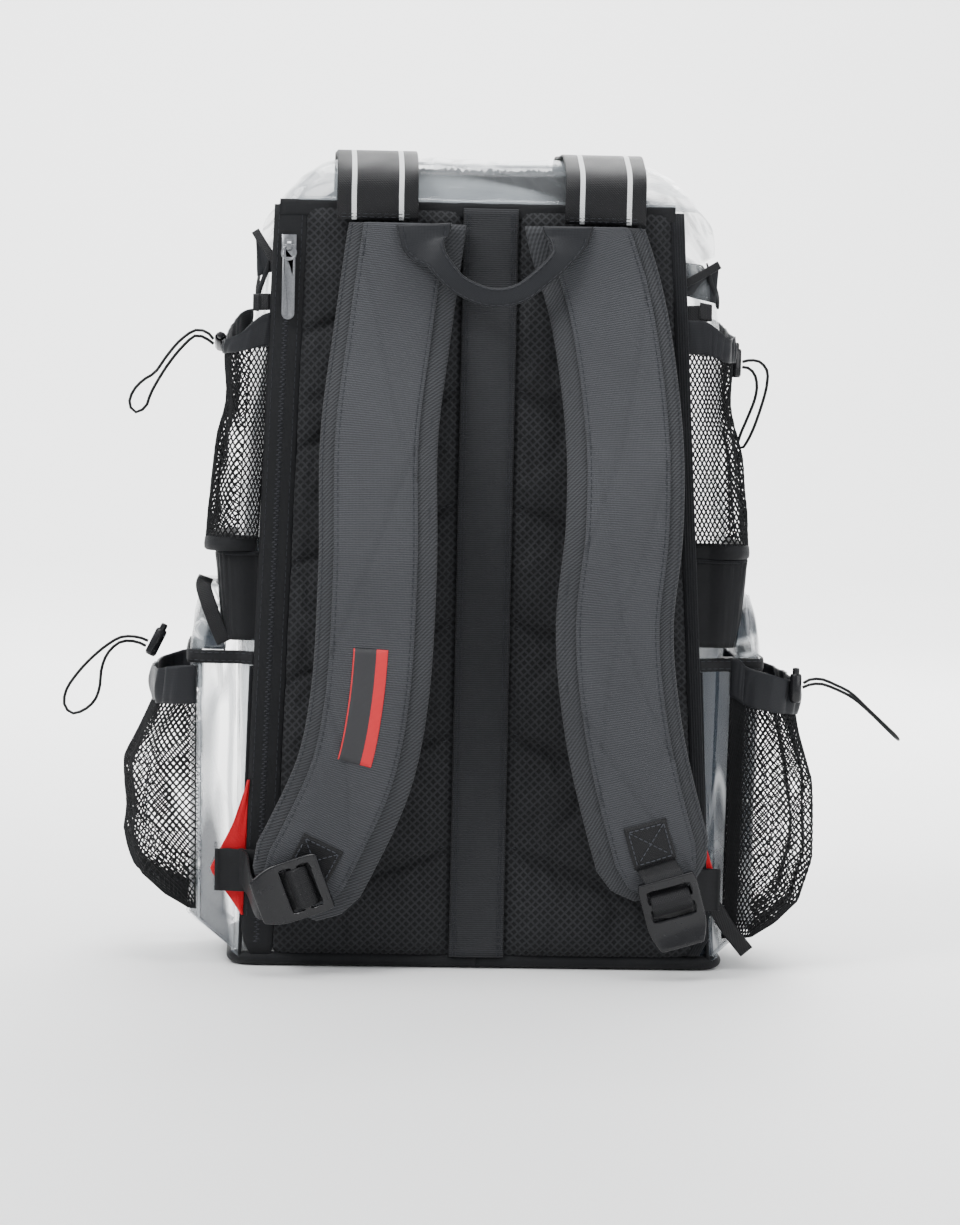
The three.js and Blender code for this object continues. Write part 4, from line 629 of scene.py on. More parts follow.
class Line:
    """Smooth centripetal curve through points, as the part's source draws it."""

    def __init__(self, points, samples=400):
        self.points = [Vector(p) for p in points]
        self.samples = [self.at_raw(t) for t in spaced(samples)]
        steps = [(b - a).length for a, b in zip(self.samples, self.samples[1:])]
        self.lengths = np.concatenate([[0], np.cumsum(steps)])
        self.length = float(self.lengths[-1])

    def at_raw(self, t):
        count = len(self.points)
        place = (count - 1) * t
        i = min(int(place), count - 2)
        w = place - i
        p1, p2 = self.points[i], self.points[i + 1]
        p0 = self.points[i - 1] if i else p1 * 2 - p2
        p3 = self.points[i + 2] if i + 2 < count else p2 * 2 - p1
        d0, d1, d2 = ((b - a).length_squared ** 0.25 for a, b in ((p0, p1), (p1, p2), (p2, p3)))
        d1 = max(d1, 1e-4)
        d0 = d0 if d0 > 1e-4 else d1
        d2 = d2 if d2 > 1e-4 else d1
        m1 = ((p1 - p0) / d0 - (p2 - p0) / (d0 + d1) + (p2 - p1) / d1) * d1
        m2 = ((p2 - p1) / d1 - (p3 - p1) / (d1 + d2) + (p3 - p2) / d2) * d1
        a, b = 2 * p1 - 2 * p2 + m1 + m2, -3 * p1 + 3 * p2 - 2 * m1 - m2
        return ((a * w + b) * w + m1) * w + p1

    def at(self, share):
        place = np.interp(share * self.length, self.lengths, np.arange(len(self.samples)))
        i = min(int(place), len(self.samples) - 2)
        return self.samples[i].lerp(self.samples[i + 1], place - i)

    def along(self, share):
        return (self.at(min(share + 0.004, 1)) - self.at(max(share - 0.004, 0))).normalized()


def gathers(place, v, seed):
    """Folds of a drawn band in millimetres: broad ones with finer ones between them."""
    broad = 1 + math.sin(place * 13 + 2 * math.sin(place * 4 + seed))
    fine = 1 + math.sin(place * 29 + 2.5 * math.sin(place * 7) + 1.4 * math.sin(3 * v + seed))
    return (1.1 * broad + 0.9 * fine) * (0.45 + 0.55 * math.sin(math.pi * v))


def band_rings(stations, half, thick, edge=4, crown=0.0):
    """Rings of a flat band with rounded edges at stations of (point, across, out, width share)."""
    flat = half - thick / 2
    section = []
    for side in (1, -1):
        for step in spaced(edge):
            angle = math.pi * (0.5 - step) * side
            section.append((side * (flat + thick / 2 * math.cos(angle)), thick / 2 * math.sin(angle)))
        for share in (0.66, 0.33, 0, -0.33, -0.66):
            section.append((share * side * flat, -side * thick / 2))
    rings = []
    for at, across, out, wide in stations:
        rings.append([
            at + across * (u * wide) + out * (v + crown * (1 - (u / half) ** 2)) for u, v in section])
    return rings


def band_piece(name, stations, half, thick, finish, slot, nodes=(), crown=0.0):
    """Band of webbing or fabric, its map centred on its middle line."""
    piece = loft_piece(name, band_rings(stations, half, thick, 4, crown), finish, slot, nodes)
    remap_band(piece, stations)
    return piece


def remap_band(piece, stations):
    """Lays the weave of a band across and along it: u across from the middle, v along."""
    points = [s[0] * MM for s in stations]
    lengths = np.concatenate([[0], np.cumsum([(b - a).length for a, b in zip(points, points[1:])])])
    mesh = piece.data
    layer = mesh.uv_layers["weave"]
    ring = len(mesh.vertices) // len(stations)
    for polygon in mesh.polygons:
        for index in polygon.loop_indices:
            vertex = mesh.loops[index].vertex_index
            row = min(vertex // ring, len(stations) - 1)
            offset = mesh.vertices[vertex].co - points[row]
            layer.data[index].uv = (offset.dot(stations[row][1]), lengths[row])


def stitches(name, runs, length, finish="thread", slot="black_fabric", thick=0.55):
    """Rows of stitches: small rounded thread loops lying along runs of (point, out) in millimetres."""
    mesh = bpy.data.meshes.new(name)
    made = bmesh.new()
    made.loops.layers.uv.new("weave")
    pitch = length * 1.35
    for run in runs:
        line = Line([p for p, out in run], 60 + 4 * len(run))
        for number in range(int(line.length / pitch)):
            share = (number + 0.5) * pitch / line.length
            at, way = line.at(share), line.along(share)
            out = run[min(int(share * len(run)), len(run) - 1)][1]
            across = way.cross(out).normalized()
            rings = []
            for place, size in ((-0.5, 0.45), (-0.3, 1), (0.3, 1), (0.5, 0.45)):
                lift = 0.5 if abs(place) < 0.4 else 0.1
                rings.append([made.verts.new((
                    at + way * (place * length) + out * (lift * thick * 0.6 + math.sin(a) * thick / 2 * size)
                    + across * (math.cos(a) * thick / 2 * size)) * MM)
                    for a in (0, math.pi / 2, math.pi, 1.5 * math.pi)])
            for a, b in zip(rings, rings[1:]):
                for j in range(4):
                    made.faces.new((a[j], a[(j + 1) % 4], b[(j + 1) % 4], b[j]))
            made.faces.new(rings[0])
            made.faces.new(rings[-1])
    bmesh.ops.recalc_face_normals(made, faces=made.faces)
    made.to_mesh(mesh)
    made.free()
    return settle(name, mesh, finish, slot)


def tube_piece(name, points, radius, finish, slot, nodes=(), sides=10, steps=60):
    """Round piping or roll along points."""
    line = Line(points)
    rings = []
    for share in spaced(steps):
        way = line.along(share)
        side = way.cross(UPWARD if abs(way.z) < 0.9 else Vector((0, 1, 0))).normalized()
        up = side.cross(way)
        at = line.at(share)
        rings.append([
            at + side * (math.cos(a) * radius) + up * (math.sin(a) * radius)
            for a in (2 * math.pi * i / sides for i in range(sides))])
    return loft_piece(name, rings, finish, slot, nodes)


# The bag's own lines, as in the part's source

def body_half(z):
    return table(z, (0, WAIST_HEIGHT, 400, MOUTH_FRONT), (150, 153, 145, 138.5))


def body_front(z):
    return table(z, (0, WAIST_HEIGHT, MOUTH_FRONT), (BODY_FRONT, BODY_FRONT, BODY_FRONT_TOP))


def panel_half(side, z):
    low, high = (128, 114) if side == "left" else (140, 112)
    return mix(low, high, z / PANEL_TOP)


def panel_edge(side, z):
    """Outer edge of the panel with its zip tape."""
    return panel_half(side, z) + CLEARANCE + (18.3 if side == "left" else 0)


def body_point(s, z, offset=0.0):
    """Point on the body's outline: s runs from the left rear flange, at 0, round to the right one, at 9."""
    right = s > 4.5
    place = 9 - s if right else s
    piece = min(int(place), 4)
    f = place - piece
    half = body_half(z)
    rear = PANEL_PLANE + CLEARANCE
    front = body_front(z)
    nx, ny = 0.0, -1.0
    if piece == 0:
        x = -mix(panel_half("right" if right else "left", z) - SEAM_LAP, half - REAR_CORNER, f)
        y = rear
    elif piece == 1:
        a = (-math.pi / 2) * (1 + f)
        nx, ny = math.cos(a), math.sin(a)
        x = -(half - REAR_CORNER) + REAR_CORNER * nx
        y = rear + REAR_CORNER + REAR_CORNER * ny
    elif piece == 2:
        nx, ny = -1.0, 0.0
        x = -half
        y = mix(rear + REAR_CORNER, front - FRONT_CORNER, f)
    elif piece == 3:
        a = math.pi * (1 - f / 2)
        nx, ny = math.cos(a), math.sin(a)
        x = -(half - FRONT_CORNER) + FRONT_CORNER * nx
        y = front - FRONT_CORNER + FRONT_CORNER * ny
    else:
        nx, ny = 0.0, 1.0
        x = -(half - FRONT_CORNER) * (1 - 2 * f)
        y = front
    mirror = -1 if right else 1
    return Vector((mirror * (x + nx * offset), y + ny * offset, z))


def mouth_height(s):
    place = 9 - s if s > 4.5 else s
    mid = mix(MOUTH_REAR, MOUTH_FRONT, 0.8)
    return table(place, (0, 1, 1.7, 3, 4), (PANEL_TOP - 6, PANEL_TOP - 6, MOUTH_REAR, mid, MOUTH_FRONT))


def pocket_point(side, q, z, offset=0.0, inset=0.0):
    """Point on a clear pocket: rear face at 0 to 1, corner, outer face at 2 to 3, corner, front at 4 to 5."""
    half = body_half(z)
    outer = half + CLEARANCE + POCKET_REACH[side] - inset
    rear = POCKET_REAR + inset
    front = POCKET_FRONT - inset
    r = max(POCKET_CORNER - inset, 3)
    nx, ny = 0.0, -1.0
    if q < 0:
        edge = panel_half(side, z) + POCKET_START[side]
        x = mix(half + CLEARANCE, edge, -q * 2.5)
        y = mix(rear, PANEL_PLANE - 1.4, ease(-q * 2.5))
    elif q <= 1:
        x, y = mix(half + CLEARANCE, outer - r, q), rear
    elif q <= 2:
        a = (-math.pi / 2) * (2 - q)
        nx, ny = math.cos(a), math.sin(a)
        x, y = outer - r + r * nx, rear + r + r * ny
    elif q <= 3:
        nx, ny = 1.0, 0.0
        x, y = outer, mix(rear + r, front - r, q - 2)
    elif q <= 4:
        a = (math.pi / 2) * (q - 3)
        nx, ny = math.cos(a), math.sin(a)
        x, y = outer - r + r * nx, front - r + r * ny
    else:
        nx, ny = 0.0, 1.0
        x, y = mix(outer - r, half + CLEARANCE, q - 4), front
    return Vector((SIGN[side] * (x + nx * offset), y + ny * offset, z))


def pocket_away(side):
    def away(p):
        return Vector((p.x - SIGN[side] * 0.152, p.y + 0.0115, 0))
    return away


def strap_line(side):
    low = STRAP_BOTTOM[side]
    return Line([
        (SIGN[side] * spread * STRAP_SPREAD, STRAP_FOOT - bow * STRAP_BOW, mix(STRAP_TOP, low, drop))
        for drop, spread, bow in STRAP_LINES[side]])


def strap_stations(side, shares, lift, shift=0.0, width=lambda t: 1.0):
    """Stations across a strap, lifted off its centre line. The top end is cut level."""
    line = strap_line(side)
    stations = []
    for t in shares:
        way = line.along(t)
        across = Vector((-way.z, 0, way.x)).normalized()
        if t < 0.03:
            across = ACROSS.lerp(across, t / 0.03).normalized()
        out = way.cross(across).normalized()
        if out.y > 0:
            out.negate()
        stations.append((line.at(t) + out * lift + across * shift, across, out, width(t)))
    return stations


def strap_taper(t):
    return table(t, (0, 0.94, 0.975, 1), (1, 1, 0.86, 0.55))


class BagPiece:
    """What the operators that make pieces share."""

    bl_options = {"REGISTER", "UNDO"}

    def execute(self, context):
        self.build(context.scene.backpack_sizes)
        return {"FINISHED"}


class STAGE_OT_camera(bpy.types.Operator):
    """Adds the camera at the photograph's place"""

    bl_idname = "backpack.camera"
    bl_label = "Camera"

    def execute(self, context):
        target = Vector((-0.0015, -0.07, 0.2225))
        yaw, distance, height = math.radians(3), 2.6, 0.42
        data = bpy.data.cameras.new("Camera")
        data.lens = 36 / 2 / (0.7595 / 2 / distance)
        camera = bpy.data.objects.new("Camera", data)
        context.scene.collection.objects.link(camera)
        camera.location = (target.x - distance * math.sin(yaw), target.y - distance * math.cos(yaw), height)
        aim = (target - camera.location).to_track_quat("-Z", "Y").to_matrix().to_4x4()
        roll = Matrix.Rotation(math.radians(1.2), 4, "Z")
        camera.matrix_world = Matrix.Translation(camera.location) @ aim @ roll
        context.scene.camera = camera
        return {"FINISHED"}


class STAGE_OT_floor(bpy.types.Operator):
    """Adds the pale floor, its backdrop and soft studio light"""

    bl_idname = "backpack.stage"
    bl_label = "Floor and light"

    def execute(self, context):
        rows = []
        for step in spaced(24):
            angle = math.pi / 2 * step
            rows.append((3600 + 1200 * math.sin(angle), 1200 - 1200 * math.cos(angle)))
        profile = [(-6000, 0), (0, 0), *rows, (4800, 7000)]
        grid = [[(x, y, z - 0.4) for x in (-8000, 8000)] for y, z in profile]
        floor = bpy.data.objects.new("floor", grid_mesh("floor", grid))
        context.scene.collection.objects.link(floor)
        flip_to(floor, lambda p: Vector((0, -0.5, 1)))
        floor.data.materials.append(FINISHES["floor"])
        world = bpy.data.worlds.new("Studio")
        world.use_nodes = True
        world.node_tree.nodes["Background"].inputs[0].default_value = (0.93, 0.96, 1.0, 1)
        world.node_tree.nodes["Background"].inputs[1].default_value = 0.8
        context.scene.world = world
        bag = (0, 0, 0.25)
        lights = (
            ("key", (-1.5, -1.3, 2.1), bag, 0.9, 62),
            ("fill", (1.9, -1.5, 0.9), bag, 1.2, 16),
            ("top", (0.1, -0.3, 2.3), bag, 1.2, 46),
            ("back", (0.7, 1.6, 1.4), bag, 1.4, 40),
            ("backdrop", (0, 2.2, 3.2), (0, 4.6, 0.9), 3.0, 420),
        )
        for name, place, aim, size, power in lights:
            data = bpy.data.lights.new(name, "AREA")
            data.size = size
            data.energy = power
            light = bpy.data.objects.new(name, data)
            context.scene.collection.objects.link(light)
            light.location = place
            light.rotation_euler = (Vector(aim) - light.location).to_track_quat("-Z", "Y").to_euler()
        return {"FINISHED"}


class BAG_OT_cords(BagPiece, bpy.types.Operator):
    """Makes the four elastic cord loops"""

    bl_idname = "backpack.cords"
    bl_label = "Cord loops"

    def build(self, sizes):
        for name, route in CORD_ROUTES.items():
            curve = bpy.data.curves.new("elastic_" + name, "CURVE")
            curve.dimensions = "3D"
            curve.bevel_depth = sizes.cord / 2
            curve.bevel_resolution = 3
            curve.use_fill_caps = True
            line = Line(route)
            points = [line.at(t) * MM for t in spaced(36)]
            spline = curve.splines.new("POLY")
            spline.points.add(len(points) - 1)
            for spot, p in zip(spline.points, points):
                spot.co = (*p, 1)
            cord = bpy.data.objects.new("elastic_" + name, curve)
            bpy.context.scene.collection.objects.link(cord)
            dress(cord, "braid", "black_elastic", ["cord_" + name])
            tuple(Vector(route[0]) * MM)


class BAG_OT_back_panel(BagPiece, bpy.types.Operator):
    """Makes the quilted back with its chevron grooves, seams and binding"""

    bl_idname = "backpack.back_panel"
    bl_label = "Quilted back"

    def build(self, sizes):
        for side in SIDES:
            self.quilt(side, sizes)
        self.edges(sizes)

    def place(self, side, share, level):
        """Point on one half's face: share across from the spine, level up the panel before the slope."""
        corner = PANEL_CORNER[side]
        straight = ease((FIRST_GROOVE - level) / 60) if level < FIRST_GROOVE else ease((level - 440) / 33)
        slope = (1 - straight) * CHEVRON_SLOPE
        x = mix(SPINE_HALF, panel_half(side, level), share)
        z = max(level - slope * x, LOW)
        down = max(corner - (z - LOW), 0)
        inset = corner - math.sqrt(max(corner ** 2 - down ** 2, 0))
        x = mix(SPINE_HALF, panel_half(side, z) - inset, share)
        return x, max(level - slope * x, LOW)

    def puff(self, x, z, share, level):
        """How far the pad stands out: full between the grooves, nothing at the grooves and the edges."""
        near = min(abs(level - groove) for groove in GROOVES)
        across = max(min(share, 1 - share), 0) * 96
        rise = 1 - math.exp(-max(near - 1.0, 0) / 3.4)
        rise *= 0.84 + 0.16 * math.sin(math.pi * clamp(near / 35.5) / 2)
        rise *= 1 - math.exp(-max(across - 1, 0) / 4.0)
        rise *= 1 - math.exp(-max(min(z - LOW, PANEL_TOP - z) - 1, 0) / 4.0)
        pucker = 0.12 * ripple(x * 2.4, 0, z * 0.8, 12, share) * math.exp(-abs(near - 9) / 10)
        return 6.6 * rise * (1 + 0.1 * ripple(x, 0, z, 38, 2) + pucker)

    def quilt(self, side, sizes):
        rows, back = [], []
        for level in spaced(150, LOW, PANEL_TOP):
            row, flat = [], []
            for share in (-0.15, -0.07, *spaced(34)):
                x, z = self.place(side, share, level)
                depth = self.puff(x, z, share, level)
                row.append(Vector((SIGN[side] * x, GROOVE_FACE + 0.6 - depth, z)))
                flat.append(Vector((SIGN[side] * x, PANEL_PLANE - 0.2, z)))
            rows.append(row)
            back.append(flat)
        name = "quilted_back_" + side
        piece = settle(name, closed_pad(name, rows, back), "air_mesh", "air_mesh", ["back_panel"])
        self.swell(piece, rows)
        apply_modifier(piece, "SUBSURF", levels=1, render_levels=1)

    def swell(self, piece, rows):
        """Lets the quilted pads swell a little as cloth, with their seams held."""
        start = [v.co.copy() for v in piece.data.vertices]
        held = piece.vertex_groups.new(name="held")
        face = PANEL_PLANE * MM
        for vertex in piece.data.vertices:
            depth = (GROOVE_FACE * MM - vertex.co.y) / (6 * MM)
            held.add([vertex.index], 1.0 if vertex.co.y > face - 0.001 else clamp(1 - depth * 1.6), "REPLACE")
        cloth = piece.modifiers.new("Cloth", "CLOTH")
        settings = cloth.settings
        settings.quality = 4
        settings.vertex_group_mass = "held"
        settings.use_pressure = True
        settings.uniform_pressure_force = 4
        settings.effector_weights.gravity = 0
        settings.shrink_min = -0.035
        settings.bending_stiffness = 0.4
        cloth.collision_settings.use_collision = False
        cloth.collision_settings.use_self_collision = False
        cloth.point_cache.frame_start, cloth.point_cache.frame_end = 1, 20
        scene = bpy.context.scene
        for number in range(1, 21):
            scene.frame_set(number)
        pick(piece)
        bpy.ops.object.modifier_apply(modifier=cloth.name)
        scene.frame_set(1)
        most = 1.8 * MM
        for vertex, before in zip(piece.data.vertices, start):
            move = vertex.co - before
            if move.length > most:
                vertex.co = before + move.normalized() * most
        piece.vertex_groups.clear()

    def edges(self, sizes):
        """Stitch rows beside the grooves, the binding down the right edge and the tape along the top."""
        runs = []
        for groove in GROOVES:
            for off in (-2.4, 2.4):
                for side in SIDES:
                    run = []
                    for share in spaced(12, 0.03, 0.97):
                        x, z = self.place(side, share, groove + off)
                        run.append((Vector((SIGN[side] * x, GROOVE_FACE - 0.5, z)), FACING))
                    runs.append(run)
        stitches("groove_stitches", runs, sizes.stitch / MM)
        corner = PANEL_CORNER["right"]
        stations = []
        for z in spaced(40, LOW + 2, PANEL_TOP - 1):
            down = max(corner - (z - LOW), 0)
            x = panel_half("right", z) - corner + math.sqrt(max(corner ** 2 - down ** 2, 0)) + 3.2
            stations.append((Vector((x, GROOVE_FACE + 0.4, z)), ACROSS, FACING, 1.0))
        band_piece("panel_binding_right", stations, 4.4, 2.2, "elastic", "black_fabric", crown=0.5)
        top = []
        for x in spaced(60, -130, 114):
            y = GROOVE_FACE + 0.2 - 0.4 * abs(ripple(x, 0, 0, 24))
            top.append((Vector((x, y, PANEL_TOP - 2)), UPWARD, FACING, 1.0))
        band_piece("panel_top_tape", top, 5.0, 2.0, "nylon", "black_fabric", crown=0.5)


def closed_pad(name, front, back):
    """Closed mesh of two grids of points joined round their edges, its map on both faces in metres."""
    mesh = bpy.data.meshes.new(name)
    made = bmesh.new()
    weave = made.loops.layers.uv.new("weave")
    sides = [[[made.verts.new(p * MM) for p in row] for row in grid] for grid in (front, back)]
    rows, columns = len(front), len(front[0])

    def face(corners):
        made_face = made.faces.new(corners)
        for loop in made_face.loops:
            loop[weave].uv = (loop.vert.co.x, loop.vert.co.z)

    for i in range(rows - 1):
        for j in range(columns - 1):
            for grid in sides:
                face((grid[i][j], grid[i][j + 1], grid[i + 1][j + 1], grid[i + 1][j]))
    a, b = sides
    for j in range(columns - 1):
        face((a[0][j], a[0][j + 1], b[0][j + 1], b[0][j]))
        face((a[-1][j], a[-1][j + 1], b[-1][j + 1], b[-1][j]))
    for i in range(rows - 1):
        face((a[i][0], a[i + 1][0], b[i + 1][0], b[i][0]))
        face((a[i][-1], a[i + 1][-1], b[i + 1][-1], b[i][-1]))
    bmesh.ops.remove_doubles(made, verts=made.verts, dist=1e-6)
    bmesh.ops.dissolve_degenerate(made, edges=made.edges, dist=1e-6)
    bmesh.ops.recalc_face_normals(made, faces=made.faces)
    made.to_mesh(mesh)
    made.free()
    mesh.polygons.foreach_set("use_smooth", [True] * len(mesh.polygons))
    return mesh


class BAG_OT_spine(BagPiece, bpy.types.Operator):
    """Makes the ribbed strip down the spine with its stitch rows"""

    bl_idname = "backpack.spine"
    bl_label = "Spine strip"

    def build(self, sizes):
        across, out = ACROSS, FACING
        stations = []
        for z in spaced(120, LOW, PANEL_TOP - 0.5):
            near = min(abs(z - groove) for groove in GROOVES)
            depth = 1.0 - 0.7 * math.exp(-((near / 12) ** 2)) + 0.25 * ripple(0, 0, z, 20)
            stations.append((Vector((0, GROOVE_FACE - CLEARANCE - 1.2 - depth * 0.8, z)), across, out, 1.0))
        band_piece(
            "spine_band", stations, SPINE_HALF, 2.2, "spine", "ribbed_fabric", ["spine_strip"], crown=0.8)
        runs = []
        for x in (-14.6, -12.9, 12.9, 14.6):
            lift = 1.15 + 0.8 * (1 - (x / SPINE_HALF) ** 2)
            runs.append([(s[0] + across * x + out * lift, out) for s in stations[::4]])
        stitches("spine_stitches", runs, sizes.stitch / MM)


class BAG_OT_zip(BagPiece, bpy.types.Operator):
    """Makes the zip down the left edge: tape, coil, slider and bare pull"""

    bl_idname = "backpack.zip"
    bl_label = "Zip"

    def build(self, sizes):
        across, out = ACROSS, FACING

        def middle(z):
            return -panel_half("left", z) - CLEARANCE - 9

        stations = []
        for z in spaced(60, LOW, PANEL_TOP - 0.5):
            wide = 1 - 0.35 * (1 - math.sqrt(clamp((z - LOW) / 16)))
            at = Vector((middle(z) + (1 - wide) * 6 + 0.6, GROOVE_FACE + 1.5, z))
            stations.append((at, across, out, wide))
        band_piece("zip_band", stations, 10.6, 3.4, "nylon", "black_fabric", ["zip_tape"], crown=0.3)
        runs = []
        for x in (-7.4, 6.8):
            runs.append([(s[0] + across * x + out * 1.8, out) for s in stations[3:]])
        stitches("zip_stitches", runs, sizes.stitch / MM)
        self.coil(middle)
        self.slider()
        self.pull()

    def coil(self, middle):
        """Interlocked coil: small flattened loops on alternate sides."""
        mesh = bpy.data.meshes.new("zip_coil")
        made = bmesh.new()
        made.loops.layers.uv.new("weave")
        pitch = 1.5
        for number in range(int((PANEL_TOP - 30 - LOW) / pitch)):
            z = LOW + 8 + number * pitch
            side = 1 if number % 2 else -1
            x = middle(z) + side * 0.6
            shape = bmesh.ops.create_icosphere(made, subdivisions=1, radius=1.0)
            matrix = Matrix.Translation(Vector((x, GROOVE_FACE - 0.5, z)) * MM) @ Matrix.Diagonal(
                (1.5 * MM, 0.5 * MM, 0.6 * MM, 1))
            bmesh.ops.transform(made, matrix=matrix, verts=shape["verts"])
        made.to_mesh(mesh)
        made.free()
        mesh.polygons.foreach_set("use_smooth", [True] * len(mesh.polygons))
        settle("zip_coil", mesh, "thread", "black_fabric")

    def slider(self):
        piece = copy_of_node("zip_slider", "slider_body", 0.0006)
        dress(piece, "metal", "grey_metal", ["zip_slider"])

    def pull(self):
        piece = copy_of_node("zip_pull", "pull_tab", 0.0003)
        low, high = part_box("zip_pull")
        pick(piece)
        bpy.ops.object.mode_set(mode="EDIT")
        bpy.ops.mesh.select_all(action="DESELECT")
        bpy.ops.object.mode_set(mode="OBJECT")
        for polygon in piece.data.polygons:
            polygon.select = polygon.normal.y < -0.9 and polygon.area > 1e-5
        bpy.ops.object.mode_set(mode="EDIT")
        bpy.ops.mesh.select_mode(type="FACE")
        bpy.ops.mesh.inset(thickness=0.0011, depth=-0.0007)
        bpy.ops.object.mode_set(mode="OBJECT")
        dress(piece, "metal", "grey_metal", ["zip_pull"], "zip_pull")
        deselect()
        middle = ((low[0] + high[0]) / 2, (low[1] + high[1]) / 2, high[2] - 0.005)
        bpy.ops.mesh.primitive_torus_add(
            major_radius=0.0042, minor_radius=0.0008, major_segments=40, minor_segments=10,
            location=middle, rotation=(math.pi / 2, 0, 0))
        ring = bpy.context.active_object
        ring.name = "pull_ring"
        bpy.ops.object.transform_apply(location=True, rotation=True, scale=True)
        smooth(ring, 60)
        dress(ring, "metal", "grey_metal", (), "zip_pull")


def copy_of_node(node, name, bevel, segments=2, flat_angle=4):
    """Merged copy of a CAD node with its edges rounded."""
    source = frame["nodes"][node]
    piece = bpy.data.objects.new(name, source.data.copy())
    bpy.context.scene.collection.objects.link(piece)
    pick(piece)
    bpy.ops.object.mode_set(mode="EDIT")
    bpy.ops.mesh.select_all(action="SELECT")
    bpy.ops.mesh.remove_doubles(threshold=0.00001)
    bpy.ops.mesh.dissolve_limited(angle_limit=math.radians(flat_angle))
    bpy.ops.object.mode_set(mode="OBJECT")
    apply_modifier(
        piece, "BEVEL", width=bevel, segments=segments, limit_method="ANGLE", angle_limit=math.radians(28))
    if not piece.data.uv_layers.get("weave"):
        piece.data.uv_layers.new(name="weave")
    smooth(piece, 35)
    return piece


class BAG_OT_clear_body(BagPiece, bpy.types.Operator):
    """Makes the clear vinyl body, its base and the seam welts"""

    bl_idname = "backpack.clear_body"
    bl_label = "Clear body"

    def build(self, sizes):
        places = spaced(150, 0, 9)
        rows = []
        for v in spaced(54):
            row = []
            for s in places:
                z = mix(LOW, mouth_height(s), v)
                p = body_point(s, z)
                side = ease((min(s, 9 - s) - 1.7) * 2)
                fold = abs(crumple(p, sizes, 4)) * side * math.sin(math.pi * clamp(v * 1.02))
                row.append(body_point(s, z, -0.1 - fold))
            rows.append(row)
        piece = sheet_piece(
            "vinyl_body", rows, "vinyl", "clear_vinyl", ["clear_body"], sizes.vinyl / MM, inward=True)
        round_body = 2 * (body_half(200) * 2) + 40
        self.base(sizes)

    def base(self, sizes):
        rings = []
        places = spaced(90, 1, 8)
        for z, inset in ((0, 3.2), (0.6, 1.5), (1.8, 0.4), (3.5, 0), (6.2, 0.3), (7, 1.4)):
            rings.append([
                body_point(s, 0, 2 - inset - 0.3 * abs(ripple(s * 9, 0, 0, 5))).xy.to_3d() + Vector((0, 0, z))
                for s in places])
        loft_piece("base_bottom", rings, "nylon", "black_fabric", ["bag_base"])
        behind = [Vector((x, PANEL_PLANE - 0.9, 4.6)) for x in (0, -60)]
        around = [body_point(s, 0, 1.2).xy.to_3d() + Vector((0, 0, 4.6)) for s in spaced(90, 0, 9)]
        points = [*behind, *around, Vector((60, PANEL_PLANE - 0.9, 4.6)), behind[0]]
        tube_piece("base_piping", points, 4.3, "nylon", "black_fabric", sides=14, steps=260)


